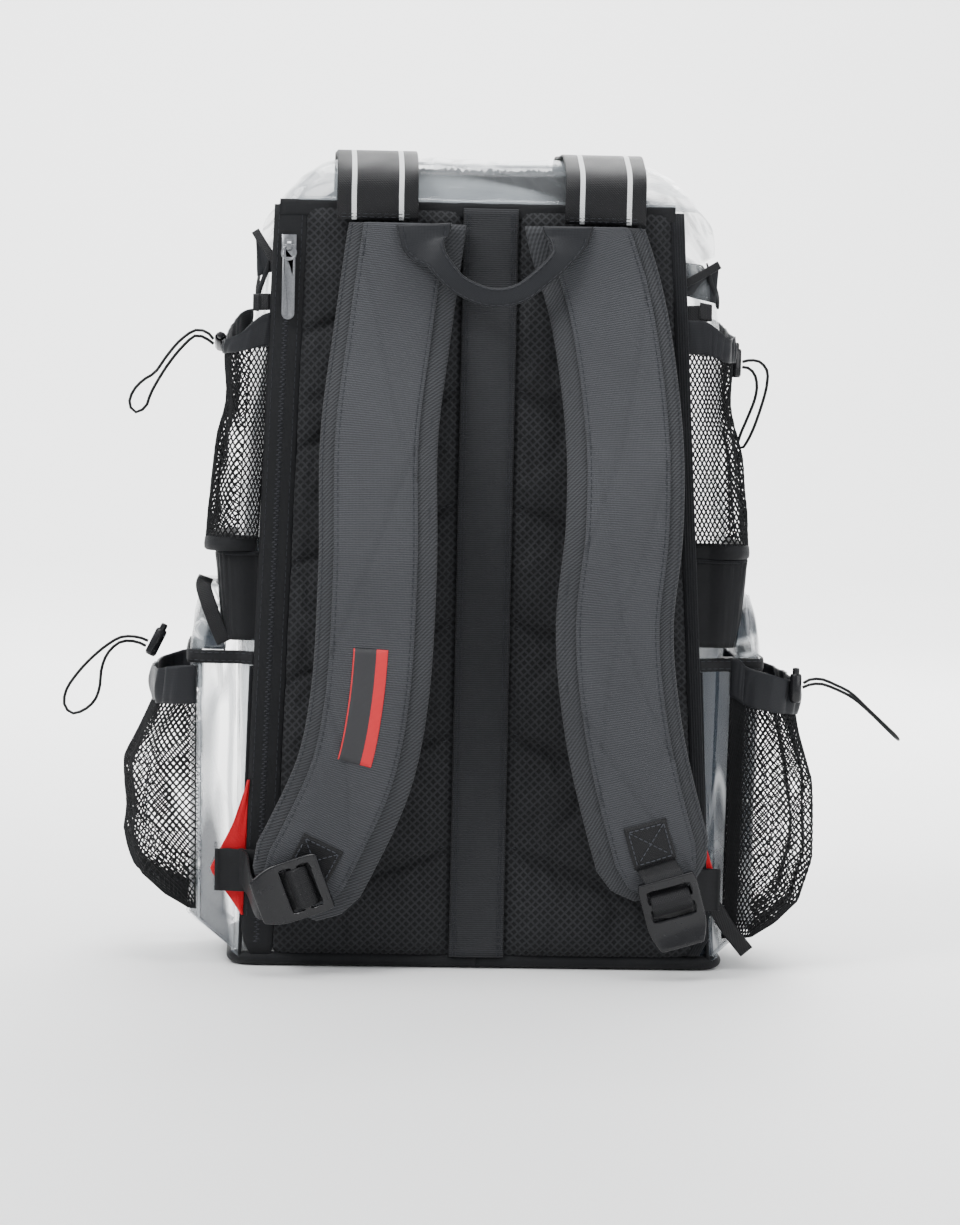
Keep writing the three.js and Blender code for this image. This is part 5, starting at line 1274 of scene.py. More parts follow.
class BAG_OT_mouth(BagPiece, bpy.types.Operator):
    """Makes the drawn throat collar, the mouth's tape, the tabs and the creased clear lid"""

    bl_idname = "backpack.mouth"
    bl_label = "Mouth and lid"

    def build(self, sizes):
        self.collar()
        self.rim()
        self.lid(sizes)
        self.tabs()

    def plan(self, half, rear, front, corner, count):
        """Rounded rectangle in plan as (x, y, where), where being 0 behind and 4 in front, on both sides."""
        legs = [
            (Vector((0, rear)), Vector((-(half - corner), rear)), 0, 1),
            (Vector((-(half - corner), rear)), None, 1, 2),
            (Vector((-half, rear + corner)), Vector((-half, front - corner)), 2, 3),
            (Vector((-half, front - corner)), None, 3, 4),
            (Vector((-(half - corner), front)), Vector((0, front)), 4, 4.001),
        ]
        points = []
        for start, end, low, high in legs:
            for f in spaced(count)[:-1]:
                if end is not None:
                    at = start.lerp(end, f)
                elif low == 1:
                    a = -math.pi / 2 - f * math.pi / 2
                    at = Vector((corner - half + corner * math.cos(a), rear + corner + corner * math.sin(a)))
                else:
                    a = math.pi - f * math.pi / 2
                    at = Vector((corner - half + corner * math.cos(a), front - corner + corner * math.sin(a)))
                points.append((at.x, at.y, mix(low, high, f)))
        points.append((0, front, 4.001))
        return points + [(-x, y, w) for x, y, w in reversed(points[1:-1])]

    def collar(self):
        rings = []
        for v in spaced(26):
            draw = table(v, (0, 0.45, 0.72, 0.9, 1), (0, 0.05, 0.3, 0.7, 1))
            half = mix(123, 65, draw) - 0.4
            rear = mix(-68.2, -34.2, draw) + 0.4
            front = mix(44.8, 4.8, draw) - 0.4
            ring = []
            outline = self.plan(half, rear, front, min(18, half / 2), 22)
            middle = (rear + front) / 2
            for n, (x, y, _) in enumerate(outline):
                p = Vector((x, y, mix(425, 497, v)))
                out = Vector((x, (y - middle) * 2, 0)).normalized()
                pleat = math.sin(n * 2.9 + 2 * math.sin(n * 0.7)) * (0.4 + 2.0 * draw)
                p += out * (pleat - 0.8 - 1.6 * draw) + Vector((0, 0, 1.6 * draw * math.sin(n * 2.9 + 1)))
                p += out * 1.2 * ripple(x, y, p.z, 22, 5)
                ring.append(p)
            rings.append(ring)
        piece = sheet_piece(
            "gathered_collar", rings, "nylon", "black_fabric", ["throat_collar"], 0.8, inward=True, wrap=True)

    def rim(self):
        places = spaced(110, 1.4, 7.6)
        rows = []
        for v in spaced(4):
            rows.append([
                body_point(s, mouth_height(s) - 10 * (1 - v), 0.4 + 0.7 * math.sin(math.pi * v)
                           + 0.25 * ripple(s * 22, 0, 0, 6)) for s in places])
        piece = sheet_piece("mouth_tape", rows, "elastic", "black_fabric", ["mouth_rim"], 1.2)

    def lid(self, sizes):
        half, rear, front = 142.1, -72.0, 58.2
        levels = (0, 0.22, 0.45, 0.62, 0.72, 0.86, 1)
        rings = []
        for v in spaced(30):
            rise = table(v, levels, (0, 0.34, 0.66, 0.9, 1, 0.99, 0.97))
            inward = table(v, levels, (0, 0.04, 0.18, 0.5, 1, 1.35, 2.05))
            inset = 30 * inward
            drawn_in = 30 * table(v, levels, (0, 0.32, 0.72, 1.2, 1.7, 2.1, 2.9))
            depth = front - rear - 2 * inset
            corner = min(25, depth * 0.4)
            ring = []
            for x, y, w in self.plan(half - drawn_in, rear + inset, front - inset, max(corner, 1), 20):
                rim = table(w, (0, 1.34, 1.68, 2, 3, 4), (473.3, 473.3, 463.5, 446, 442, 424))
                p = Vector((x, y, mix(rim, LID_TOP, rise)))
                dent = crumple(p, sizes, 1) * 2.2
                away = Vector((x * 0.35, y * 0.6, 26 * inward + 6)).normalized()
                hold = ease(v * 5)
                p -= away * (abs(dent) * hold + 0.4)
                ring.append(p)
            rings.append(ring)
        piece = settle("creased_lid", grid_mesh("creased_lid", rings, wrap=True), "lid_vinyl", "clear_vinyl",
                       ["clear_lid"])
        close_top(piece, len(rings[0]))
        flip_to(piece, lambda p: Vector((p.x, p.y, p.z - 0.44)))
        apply_modifier(piece, "SOLIDIFY", thickness=sizes.vinyl, offset=-1, use_rim=True)
        roll = [Vector((x, rear - 0.4, 475.6 + 0.5 * ripple(x, 0, 0, 30))) for x in spaced(40, -118, 114)]
        tube_piece("lid_edge_roll", roll, 2.4, "lid_vinyl", "clear_vinyl", steps=120)

    def tabs(self):
        """Folded webbing tab at each rear corner of the mouth."""
        for side in SIDES:
            node = "side_tab_" + side
            low, high = (Vector(c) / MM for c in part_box(node))
            inner, outer = (high.x, low.x) if side == "left" else (low.x, high.x)
            leaning = Vector((0, 0.15, 1)).normalized()
            stations = []
            for t in spaced(14):
                reach = math.sin(math.pi * t) if t < 0.5 else 1 - 0.7 * (t - 0.5)
                x = mix(inner, outer, reach)
                y = mix(high.y - 1.2, low.y + 0.9, t)
                z = mix(low.z + 7, high.z - 6.5, t if side == "right" else 1 - 0.4 * t)
                stations.append((Vector((x, y, z)), leaning, FACING, 1.0))
            band_piece("corner_tab_" + side, stations, 5.2, 1.4, "webbing", "black_fabric", [node])
            self.corner(side)

    def corner(self, side):
        """Rising tape end with a cloth corner hanging under it."""
        rise = {
            "left": ((-131, -69.5, 435), (-138, -67, 445), (-145, -62, 456)),
            "right": ((116, -71.6, 426), (129, -71, 433), (143, -65, 441)),
        }[side]
        line = Line(rise)
        stations = []
        for t in spaced(16):
            way = line.along(t)
            across = way.cross(FACING).normalized()
            stations.append((line.at(t), across, way.cross(across).normalized(), 1.0))
        band_piece("tape_end_" + side, stations, 2.6, 1.3, "webbing", "black_fabric")
        tip = Vector({"left": (-143, -65, 431), "right": (141, -66, 420)}[side])
        rows = []
        for v in spaced(8):
            row = []
            for t in spaced(12):
                low = line.at(0).lerp(tip, t) - Vector((0, 0, 3))
                fold = Vector((0, 1.2 + 0.9 * math.sin(9 * t + 3 * v), 0))
                row.append(line.at(t).lerp(low, v) + fold)
            rows.append(row)
        sheet_piece(
            "corner_cloth_" + side, rows, "lining", "black_fabric", (), 0.8, away=lambda p: FACING)


def close_top(piece, count):
    """Closes the last ring of a lofted dome with one face."""
    made = bmesh.new()
    made.from_mesh(piece.data)
    made.verts.ensure_lookup_table()
    last = made.verts[len(made.verts) - count:]
    face = made.faces.new(last)
    bmesh.ops.poke(made, faces=[face])
    bmesh.ops.recalc_face_normals(made, faces=made.faces)
    made.to_mesh(piece.data)
    made.free()
    piece.data.polygons.foreach_set("use_smooth", [True] * len(piece.data.polygons))


class BAG_OT_waist_band(BagPiece, bpy.types.Operator):
    """Makes the loose waist band, gathered at the sides"""

    bl_idname = "backpack.waist_band"
    bl_label = "Waist band"

    def build(self, sizes):
        places = spaced(240, 0.95, 8.5)
        rows = []
        for v in spaced(14):
            row = []
            for s in places:
                place = 9 - s if s > 4.5 else s
                z = mix(BAND_BOTTOM, WAIST_HEIGHT, v)
                flare = mix(10, 2, ease(place - 3)) * mix(0.55, 1, v ** 0.6) * ease((place - 1) * 1.4)
                side = ease((place - 1.2) * 2) * ease((3.4 - place) * 2)
                gather = math.sin(s * 34 + 3 * math.sin(s * 5)) * (0.5 + 1.4 * v) * side
                gather += 1.6 * ripple(s * 60, 0, z * 0.5, 24, 8) * side
                row.append(body_point(s, z + 0.8 * gather * v, CLEARANCE + 0.3 + flare + abs(gather)))
            rows.append(row)
        piece = sheet_piece("gathered_band", rows, "nylon", "black_fabric", ["waist_band"], 0.9)
        edge = []
        for s in places[::3]:
            place = 9 - s if s > 4.5 else s
            flare = mix(10, 2, ease(place - 3)) * ease((place - 1) * 1.4)
            edge.append(body_point(s, WAIST_HEIGHT - 1, CLEARANCE + 1.6 + flare))
        tube_piece("band_hem", edge, 1.5, "elastic", "black_fabric", steps=160)


class BAG_OT_straps(BagPiece, bpy.types.Operator):
    """Makes the padded shoulder straps with faces, stitches, patches and the bare label"""

    bl_idname = "backpack.straps"
    bl_label = "Shoulder straps"

    creases = {
        "left": ((0.2, 7), (0.47, -6), (0.8, 5)),
        "right": ((0.3, -8), (0.555, 10), (0.6, -10), (0.86, 6)),
    }

    def build(self, sizes):
        for side in SIDES:
            self.strap(side, sizes)
        stations = strap_stations("left", spaced(24, 264 / 437.4, 335 / 437.4), 6.6, -2)
        band_piece("strap_badge", stations, 10.5, 1.0, "label", "red_fabric", ["strap_label"])

    def crease(self, side, t, u):
        """Shallow crossing creases where the strap bends."""
        depth = 0.0
        for centre, slant in self.creases[side]:
            line = t - centre - slant * 0.001 * u
            depth += 0.9 * math.exp(-((line / 0.0075) ** 2))
        return depth

    def strap(self, side, sizes):
        shares = spaced(150)
        stations = strap_stations(side, shares, 0, width=strap_taper)
        rings = []
        for (at, across, out, wide), t in zip(stations, shares):
            ring = []
            for n in range(36):
                a = 2 * math.pi * n / 36
                c, s = math.cos(a), math.sin(a)
                u = math.copysign(abs(c) ** 0.55, c) * STRAP_HALF * wide
                v = math.copysign(abs(s) ** 0.8, s) * STRAP_HALF_THICK
                if v > 0:
                    v -= self.crease(side, t, u) * 0.8
                v += 0.35 * ripple(u, 0, at.z, 20, 3)
                ring.append(at + across * u + out * v)
            rings.append(ring)
        pad = loft_piece("padded_strap_" + side, rings, "binding", "air_mesh", ["strap_pad_" + side])
        remap_band(pad, stations)
        shown = [t for t in shares if t < 0.99]
        face = strap_stations(side, shown, 0, 1.5 * SIGN[side], strap_taper)
        rows = []
        for (at, across, out, wide), t in zip(face, shown):
            row = []
            for u in spaced(28, -STRAP_FACE_HALF, STRAP_FACE_HALF):
                crown = 1.1 * (1 - (abs(u) / STRAP_FACE_HALF) ** 3)
                v = 4.25 + crown - self.crease(side, t, u) - 0.9 * math.exp(-(((abs(u) - 23) / 0.8) ** 2))
                row.append(at + across * (u * wide) + out * (v + 0.3 * ripple(u, 0, at.z, 26, 6)))
            rows.append(row)
        name = "strap_front_" + side
        piece = settle(name, grid_mesh(name, rows), "ribbed", "ribbed_fabric", ["strap_face_" + side])
        flip_to(piece, lambda p: FACING)
        apply_modifier(piece, "SOLIDIFY", thickness=0.0012, offset=1, use_rim=True)
        out_runs = []
        for u in (-23, 23, -32.5, 32.5):
            lift = 5.4 if abs(u) < 30 else 2.4
            out_runs.append([(a + c * (u * w) + o * lift, o) for a, c, o, w in face[::5]])
        stitches("strap_stitches_" + side, out_runs, sizes.stitch / MM)
        self.patch(side, sizes)

    def patch(self, side, sizes):
        length = strap_line(side).length
        low, high = 1 - 48.5 / length, 1 - 21.5 / length
        stations = strap_stations(side, spaced(10, low, high), 6.9)
        band_piece("patch_" + side, stations, 13.5, 1.3, "webbing", "black_webbing", ["strap_patch_" + side])
        first, last = stations[0], stations[-1]
        corners = [
            (s[0] + s[1] * (u * 11.2) + s[2] * 0.85, s[2]) for s, u in (
                (stations[1], -1), (stations[1], 1), (stations[-2], 1), (stations[-2], -1))]
        runs = [[corners[i], corners[(i + 1) % 4]] for i in range(4)]
        runs += [[corners[0], corners[2]], [corners[1], corners[3]]]
        stitches("patch_stitches_" + side, runs, 2.6, "grey_thread", thick=0.75)
        seat = lock_frame(side)
        bar = seat @ Vector((0, -2.6, 20))
        start = last[0].lerp(first[0], 0.25)
        line = Line([start, last[0] - last[2] * 0.2, last[0].lerp(bar, 0.5) - Vector((0, 1.5, 0)), bar])
        loop = []
        target = (seat.to_3x3() @ ACROSS).normalized()
        for t in spaced(16):
            way = line.along(t)
            wide = last[1].lerp(target, ease(t)).normalized()
            out = way.cross(wide).normalized()
            if out.y > 0:
                out.negate()
            loop.append((line.at(t) - out * 0.9, wide, out, 1.0))
        band_piece("patch_loop_" + side, loop, BUCKLE_WEB_HALF, 1.3, "webbing", "black_webbing")


def lock_frame(side):
    """Where a ladder lock sits: off the strap's end, turned and tilted."""
    end = strap_line(side).at(1)
    across, up, stand, turn, tilt = {
        "left": (1.8, 12, 18.5, 1.2, 0.25), "right": (5.4, -10.5, 12.5, -0.28, 0.2)}[side]
    turned = Matrix.Rotation(turn, 4, "Y") @ Matrix.Rotation(tilt, 4, "X")
    return Matrix.Translation((end.x + across, end.y - stand, end.z + up)) @ turned


class BAG_OT_harness(BagPiece, bpy.types.Operator):
    """Makes the ladder locks, their webbing, the red gussets and the haul loop"""

    bl_idname = "backpack.harness"
    bl_label = "Harness"

    def build(self, sizes):
        for side in SIDES:
            self.lock(side)
            self.webbing(side, sizes)
            self.gusset(side)
        self.haul(sizes)

    def lock(self, side):
        """Plate with two slots from a grid whose cells are cut out, with a deep curved lower lip."""
        levels = [22.5, 18.5, 16.5, 8.5, 6.5, 4.5, -3.5, -6.5, -11, -16, -20, -22.5]
        shares = [-18.5, -16, -13.5, -4.5, 4.5, 13.5, 16, 18.5]
        deselect()
        bpy.ops.mesh.primitive_grid_add(
            x_subdivisions=len(shares) - 1, y_subdivisions=len(levels) - 1, size=2)
        piece = bpy.context.active_object
        piece.name = "lock_" + side
        columns = len(shares)
        for n, vertex in enumerate(piece.data.vertices):
            x, z = shares[n % columns], levels[::-1][n // columns]
            narrow = 1 - 0.28 * clamp((-z - 8) / 14.5) ** 1.6
            top = 1 - 0.06 * clamp((z - 18) / 4.5)
            lip = 4.8 * clamp((-z - 4) / 18) ** 1.5
            vertex.co = Vector((x * narrow * top, -lip - 0.5 * (1 - (x / 18.5) ** 2), z)) * MM
        slots = ((8.5, 16.5), (-3.5, 4.5))
        pick(piece)
        bpy.ops.object.mode_set(mode="EDIT")
        bpy.ops.mesh.select_all(action="DESELECT")
        bpy.ops.object.mode_set(mode="OBJECT")
        for polygon in piece.data.polygons:
            middle = polygon.center / MM
            polygon.select = abs(middle.x) < 13.5 and any(a < middle.z < b for a, b in slots)
        bpy.ops.object.mode_set(mode="EDIT")
        bpy.ops.mesh.select_mode(type="FACE")
        bpy.ops.mesh.delete(type="FACE")
        bpy.ops.object.mode_set(mode="OBJECT")
        apply_modifier(piece, "SOLIDIFY", thickness=4 * MM, offset=0, use_rim=True)
        apply_modifier(
            piece, "BEVEL", width=0.0011, segments=3, limit_method="ANGLE", angle_limit=math.radians(40))
        apply_modifier(piece, "SUBSURF", levels=1, render_levels=1)
        metres = Matrix.Diagonal((MM, MM, MM, 1))
        piece.data.transform(metres @ lock_frame(side) @ Matrix.Diagonal((1 / MM, 1 / MM, 1 / MM, 1)))
        if not piece.data.uv_layers.get("weave"):
            piece.data.uv_layers.new(name="weave")
        piece.matrix_world = Matrix.Identity(4)
        smooth(piece, 50)
        dress(piece, "plastic", "black_plastic", ["ladder_lock_" + side])

    def webbing(self, side, sizes):
        at = lock_frame(side)
        upper, lower = 12.5, 0.5
        behind = 3.65
        leaves = {"left": (1.6, 24), "right": (6, 8)}[side]
        rows = [
            (behind + 0.4, upper + 4.4), (behind - 0.6, upper + 2), (0, upper),
            (-behind, (upper + lower) / 2), (0, lower), (behind - 0.4, lower - 2.4),
            (behind + leaves[0], lower - leaves[1])]
        points = [at @ Vector((0, y, z)) for y, z in rows]
        z = mix(GUSSET_LOW, GUSSET_HIGH, {"left": GUSSET_TIP, "right": 0.24}[side])
        anchor = Vector((SIGN[side] * (panel_edge(side, z) + GUSSET_REACH[side] * 0.4), -75.05, z))
        run = {"left": 8, "right": 14}[side]
        points += [Vector((anchor.x - SIGN[side] * run, -81.35, z)), anchor]
        line = Line(points)
        across = (at.to_3x3() @ ACROSS).normalized()
        upright = Vector((0, 0, -1))
        stations = []
        for t in spaced(90):
            place = table(t * line.length, line.lengths, spaced(len(line.lengths) - 1))
            way = line.along(t)
            wide = across.lerp(upright, ease((place - 0.6) / 0.35)).normalized()
            out = way.cross(wide).normalized()
            stations.append((line.at(t), out.cross(way).normalized(), out, 1.0))
        band_piece("lock_webbing_" + side, stations, BUCKLE_WEB_HALF, 1.5, "webbing", "black_webbing",
                   ["lower_webbing_" + side])
        last = stations[-1]
        tab = []
        inward = {"left": 27, "right": 9}[side]
        for t in spaced(20):
            if t < 0.5:
                away = Vector((SIGN[side] * mix(-inward, 10, 2 * t), mix(-8.2, -2.2, ease(2.4 * t)), 0))
            else:
                away = Vector((SIGN[side] * mix(10, -8, 2 * t - 1), mix(-2.2, 0.6, ease(4 * t - 2)), 0))
            wave = 0.5 * math.sin(t * 17)
            tab.append((last[0] + away + Vector((0, wave, 0)), UPWARD, FACING, 1.0))
        band_piece("webbing_fold_" + side, tab, 13.2, 1.2, "nylon", "black_webbing")

    def gusset(self, side):
        """Red cloth triangle folded along its outer edge, bright outside and shaded inside the fold."""
        tip = GUSSET_TIP
        for name, depth, share, finish, nodes in (
            ("gusset_front_", -0.3, 1.0, "red", ["red_gusset_" + side]),
            # The fold's sheet takes the darker red as painted shade inside the fold.
            ("gusset_fold_", 3.4, 0.84, "shaded_red", ()),
        ):
            rows = []
            for v in spaced(26, 0.01, 0.99):
                z = mix(GUSSET_LOW, GUSSET_HIGH, v)
                out = GUSSET_REACH[side] * share * table(v, (0, tip, 0.67, 1), (0, 1, 0.4, 0.02))
                edge = panel_edge(side, z)
                row = []
                for u in spaced(10):
                    curl = 2.2 * math.sin(math.pi * u) * ripple(u * 30, 0, z, 22, 4) + depth * u
                    row.append(Vector((SIGN[side] * (edge + out * u), PANEL_PLANE - 3.6 + curl, z)))
                rows.append(row)
            sheet_piece(name + side, rows, finish, "red_fabric", nodes, 0.7, away=lambda p: FACING)

    def haul(self, sizes):
        line_rows = (
            (-0.46, 0, 1), (-0.45, 0.28, 0.75), (-0.37, 0.5, 0.1), (-0.22, 0.83, 0), (0, 1, 0),
            (0.18, 0.94, 0), (0.35, 0.68, 0), (0.47, 0.42, 0.1), (0.51, 0.2, 0.6), (0.51, 0, 0.9))
        y = STRAP_FOOT - 4 - 1.5 - 0.9 - 1.5
        line = Line([
            (a * 91, y - 9 * ease(drop * 1.4), STRAP_TOP - drop * 44) for a, drop, _ in line_rows])
        widths = [row[2] for row in line_rows]
        stations = []
        for t in spaced(90):
            place = table(t * line.length, line.lengths, spaced(len(line.lengths) - 1))
            wide = table(place, spaced(len(widths) - 1), widths)
            way = line.along(t)
            across = Vector((-way.z, 0, way.x)).normalized()
            stations.append((line.at(t), across, FACING, mix(12, 34, wide) / 34))
        band_piece("carry_loop", stations, 17, 3.0, "lining", "ribbed_fabric", ["haul_loop"], crown=0.5)
        runs = []
        for u in (-13.5, 13.5):
            runs.append([(a + c * (u * w) + o * 2.0, o) for a, c, o, w in stations[::4]])
        stitches("loop_stitches", runs, sizes.stitch / MM)


class BAG_OT_top_webs(BagPiece, bpy.types.Operator):
    """Makes the striped webs over the lid and the buckles on the front"""

    bl_idname = "backpack.top_webs"
    bl_label = "Top webs"

    def build(self, sizes):
        lift = 1.1
        rear, front = -72.0, 58.2
        rows = [(STRAP_FOOT, 464), (STRAP_FOOT - 2, 476), (STRAP_FOOT + 1, 491)]
        for inset, rise in ((15, 0.9), (30, 1)):
            rows.append((rear + inset - lift * 1.4, mix(PANEL_TOP, LID_TOP, rise) + lift * 1.6))
        rows.append(((rear + front) / 2, LID_TOP + lift + 0.6))
        down_front = ((30, 1, 1.6), (15, 0.9, 1.6), (5.4, 0.66, 0.4), (1.2, 0.34, 0.4), (0, 0, 0.4))
        for inset, rise, up in down_front:
            rows.append((front - inset + lift * 1.4, mix(LID_FRONT, LID_TOP, rise) + lift * up))
        for z, stand in ((394, 3.5), (330, 1), (270, 0.3)):
            rows.append((body_front(z) + lift + stand, z))
        for side in SIDES:
            x = SIGN[side] * WEB_X
            line = Line([(x, y, z) for y, z in rows])
            stations = []
            for t in spaced(160):
                way = line.along(t)
                across = ACROSS
                at = line.at(t)
                wave = 0.5 * ripple(at.y, 0, at.z, 30, SIGN[side])
                stations.append((at + Vector((wave, 0, 0)), across, way.cross(across).normalized(), 1.0))
            band_piece(
                "striped_web_" + side, stations, WEB_HALF, 1.6, "striped", "black_webbing",
                ["top_webbing_" + side])
            piece = copy_of_node("front_buckle_" + side, "buckle_" + side, 0.0008, 3, 2)
            dress(piece, "plastic", "black_plastic", ["front_buckle_" + side])
            seam = []
            for z in (465.5, 467.5):
                seam.append([
                    (Vector((x + u, STRAP_FOOT - 1.4, z)), FACING) for u in spaced(6, -23, 23)])
            stitches("web_stitches_" + side, seam, sizes.stitch / MM)


def net_mesh(name, place, columns, rows, strand):
    """Open diamond net: quads set on their corners over a surface, turned into strands."""
    mesh = bpy.data.meshes.new(name)
    made = bmesh.new()
    made.loops.layers.uv.new("weave")
    spots = {}

    def spot(i, j):
        if (i, j) not in spots:
            spots[(i, j)] = made.verts.new(place(i / columns, j / rows) * MM)
        return spots[(i, j)]

    for j in range(0, rows + 1):
        for i in range(0, columns + 1):
            if (i + j) % 2 == 0:
                continue
            corners = [(i - 1, j), (i, j - 1), (i + 1, j), (i, j + 1)]
            inside = [c for c in corners if 0 <= c[0] <= columns and 0 <= c[1] <= rows]
            if len(inside) > 2:
                made.faces.new([spot(*c) for c in inside])
    bmesh.ops.recalc_face_normals(made, faces=made.faces)
    made.to_mesh(mesh)
    made.free()
    piece = settle(name, mesh, "knot", "black_net")
    apply_modifier(piece, "WIREFRAME", thickness=strand, use_replace=True, use_boundary=True)
    return piece


class BAG_OT_upper_nets(BagPiece, bpy.types.Operator):
    """Makes the open upper net pockets with their floors and gathered bands"""

    bl_idname = "backpack.upper_nets"
    bl_label = "Upper net pockets"

    bulge = {"left": (19, 16), "right": (13, 7)}
    starts = {"left": 1.0, "right": 0.5}

    def spread(self, s):
        arch = math.sin(math.pi * clamp((s - self.start) / (2.82 - self.start))) ** 0.5
        return arch * mix(0.25, 1, ease((s - 0.95) / 0.6))

    def build(self, sizes):
        cell = sizes.net_cell / MM / 2
        for side in SIDES:
            low_bulge, high_bulge = self.bulge[side]
            self.start = self.starts[side]

            def at(s, z, offset, side=side):
                return body_point(s if side == "left" else 9 - s, z, offset)

            def reach(v, low_bulge=low_bulge, high_bulge=high_bulge):
                return mix(low_bulge, high_bulge, v) - 5 * math.exp(-(((v - 0.72) / 0.16) ** 2))

            def place(u, v, at=at, reach=reach, side=side):
                s = mix(self.start, 2.82, u)
                z = mix(266, 386, v)
                fold = 1.5 * math.sin(s * 17 + 2.2 * math.sin(v * 5))
                fold += 1.8 * ripple(u * 90, 0, z, 26, SIGN[side])
                hold = math.sin(math.pi * clamp(v * 0.96 + 0.02))
                return at(s, z, CLEARANCE + 0.5 + self.spread(s) * (reach(v) + fold * hold * 0.8))

            width = 141
            piece = net_mesh(
                "open_net_upper_" + side, place, int(width / cell), int(120 / cell), sizes.net_strand)
            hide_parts("upper_net_" + side)
            self.band(side, at, high_bulge)
            self.floor(side, at, low_bulge)

    def band(self, side, at, bulge):
        rows = []
        for v in spaced(10):
            row = []
            for s in spaced(130, self.start, 2.82):
                gather = 0.65 * gathers(s * 1.4, v, SIGN[side])
                lip = 0.8 * ease((v - 0.8) * 5)
                fall = self.spread(s) ** 2 * mix(5, {"left": 19, "right": 12}[side], v)
                z = mix(385.3, 407.3, v) - fall + 2.2 * ripple(s * 40, 0, 0, 14, SIGN[side]) * v
                row.append(at(s, z, CLEARANCE + 0.3 + self.spread(s) * (bulge + gather - 0.4) + lip))
            rows.append(row)
        piece = sheet_piece(
            "gathered_top_" + side, rows, "lining", "black_fabric", ["upper_net_band_" + side], 1.0)

    def floor(self, side, at, bulge):
        rings = []
        for z, inset in ((258.4, 1.6), (259.4, 0.4), (262, 0), (266, 0.2), (268.2, 1.4)):
            outer = [
                at(s, z, 0.5 + self.spread(s) * (bulge + 1.4 - inset)) for s in spaced(60, self.start, 2.82)]
            inner = [at(s, z, 0.4) for s in spaced(60, 2.80, self.start + 0.02)]
            rings.append(outer + inner)
        loft_piece("net_foot_" + side, rings, "nylon", "black_fabric", ["upper_net_floor_" + side])


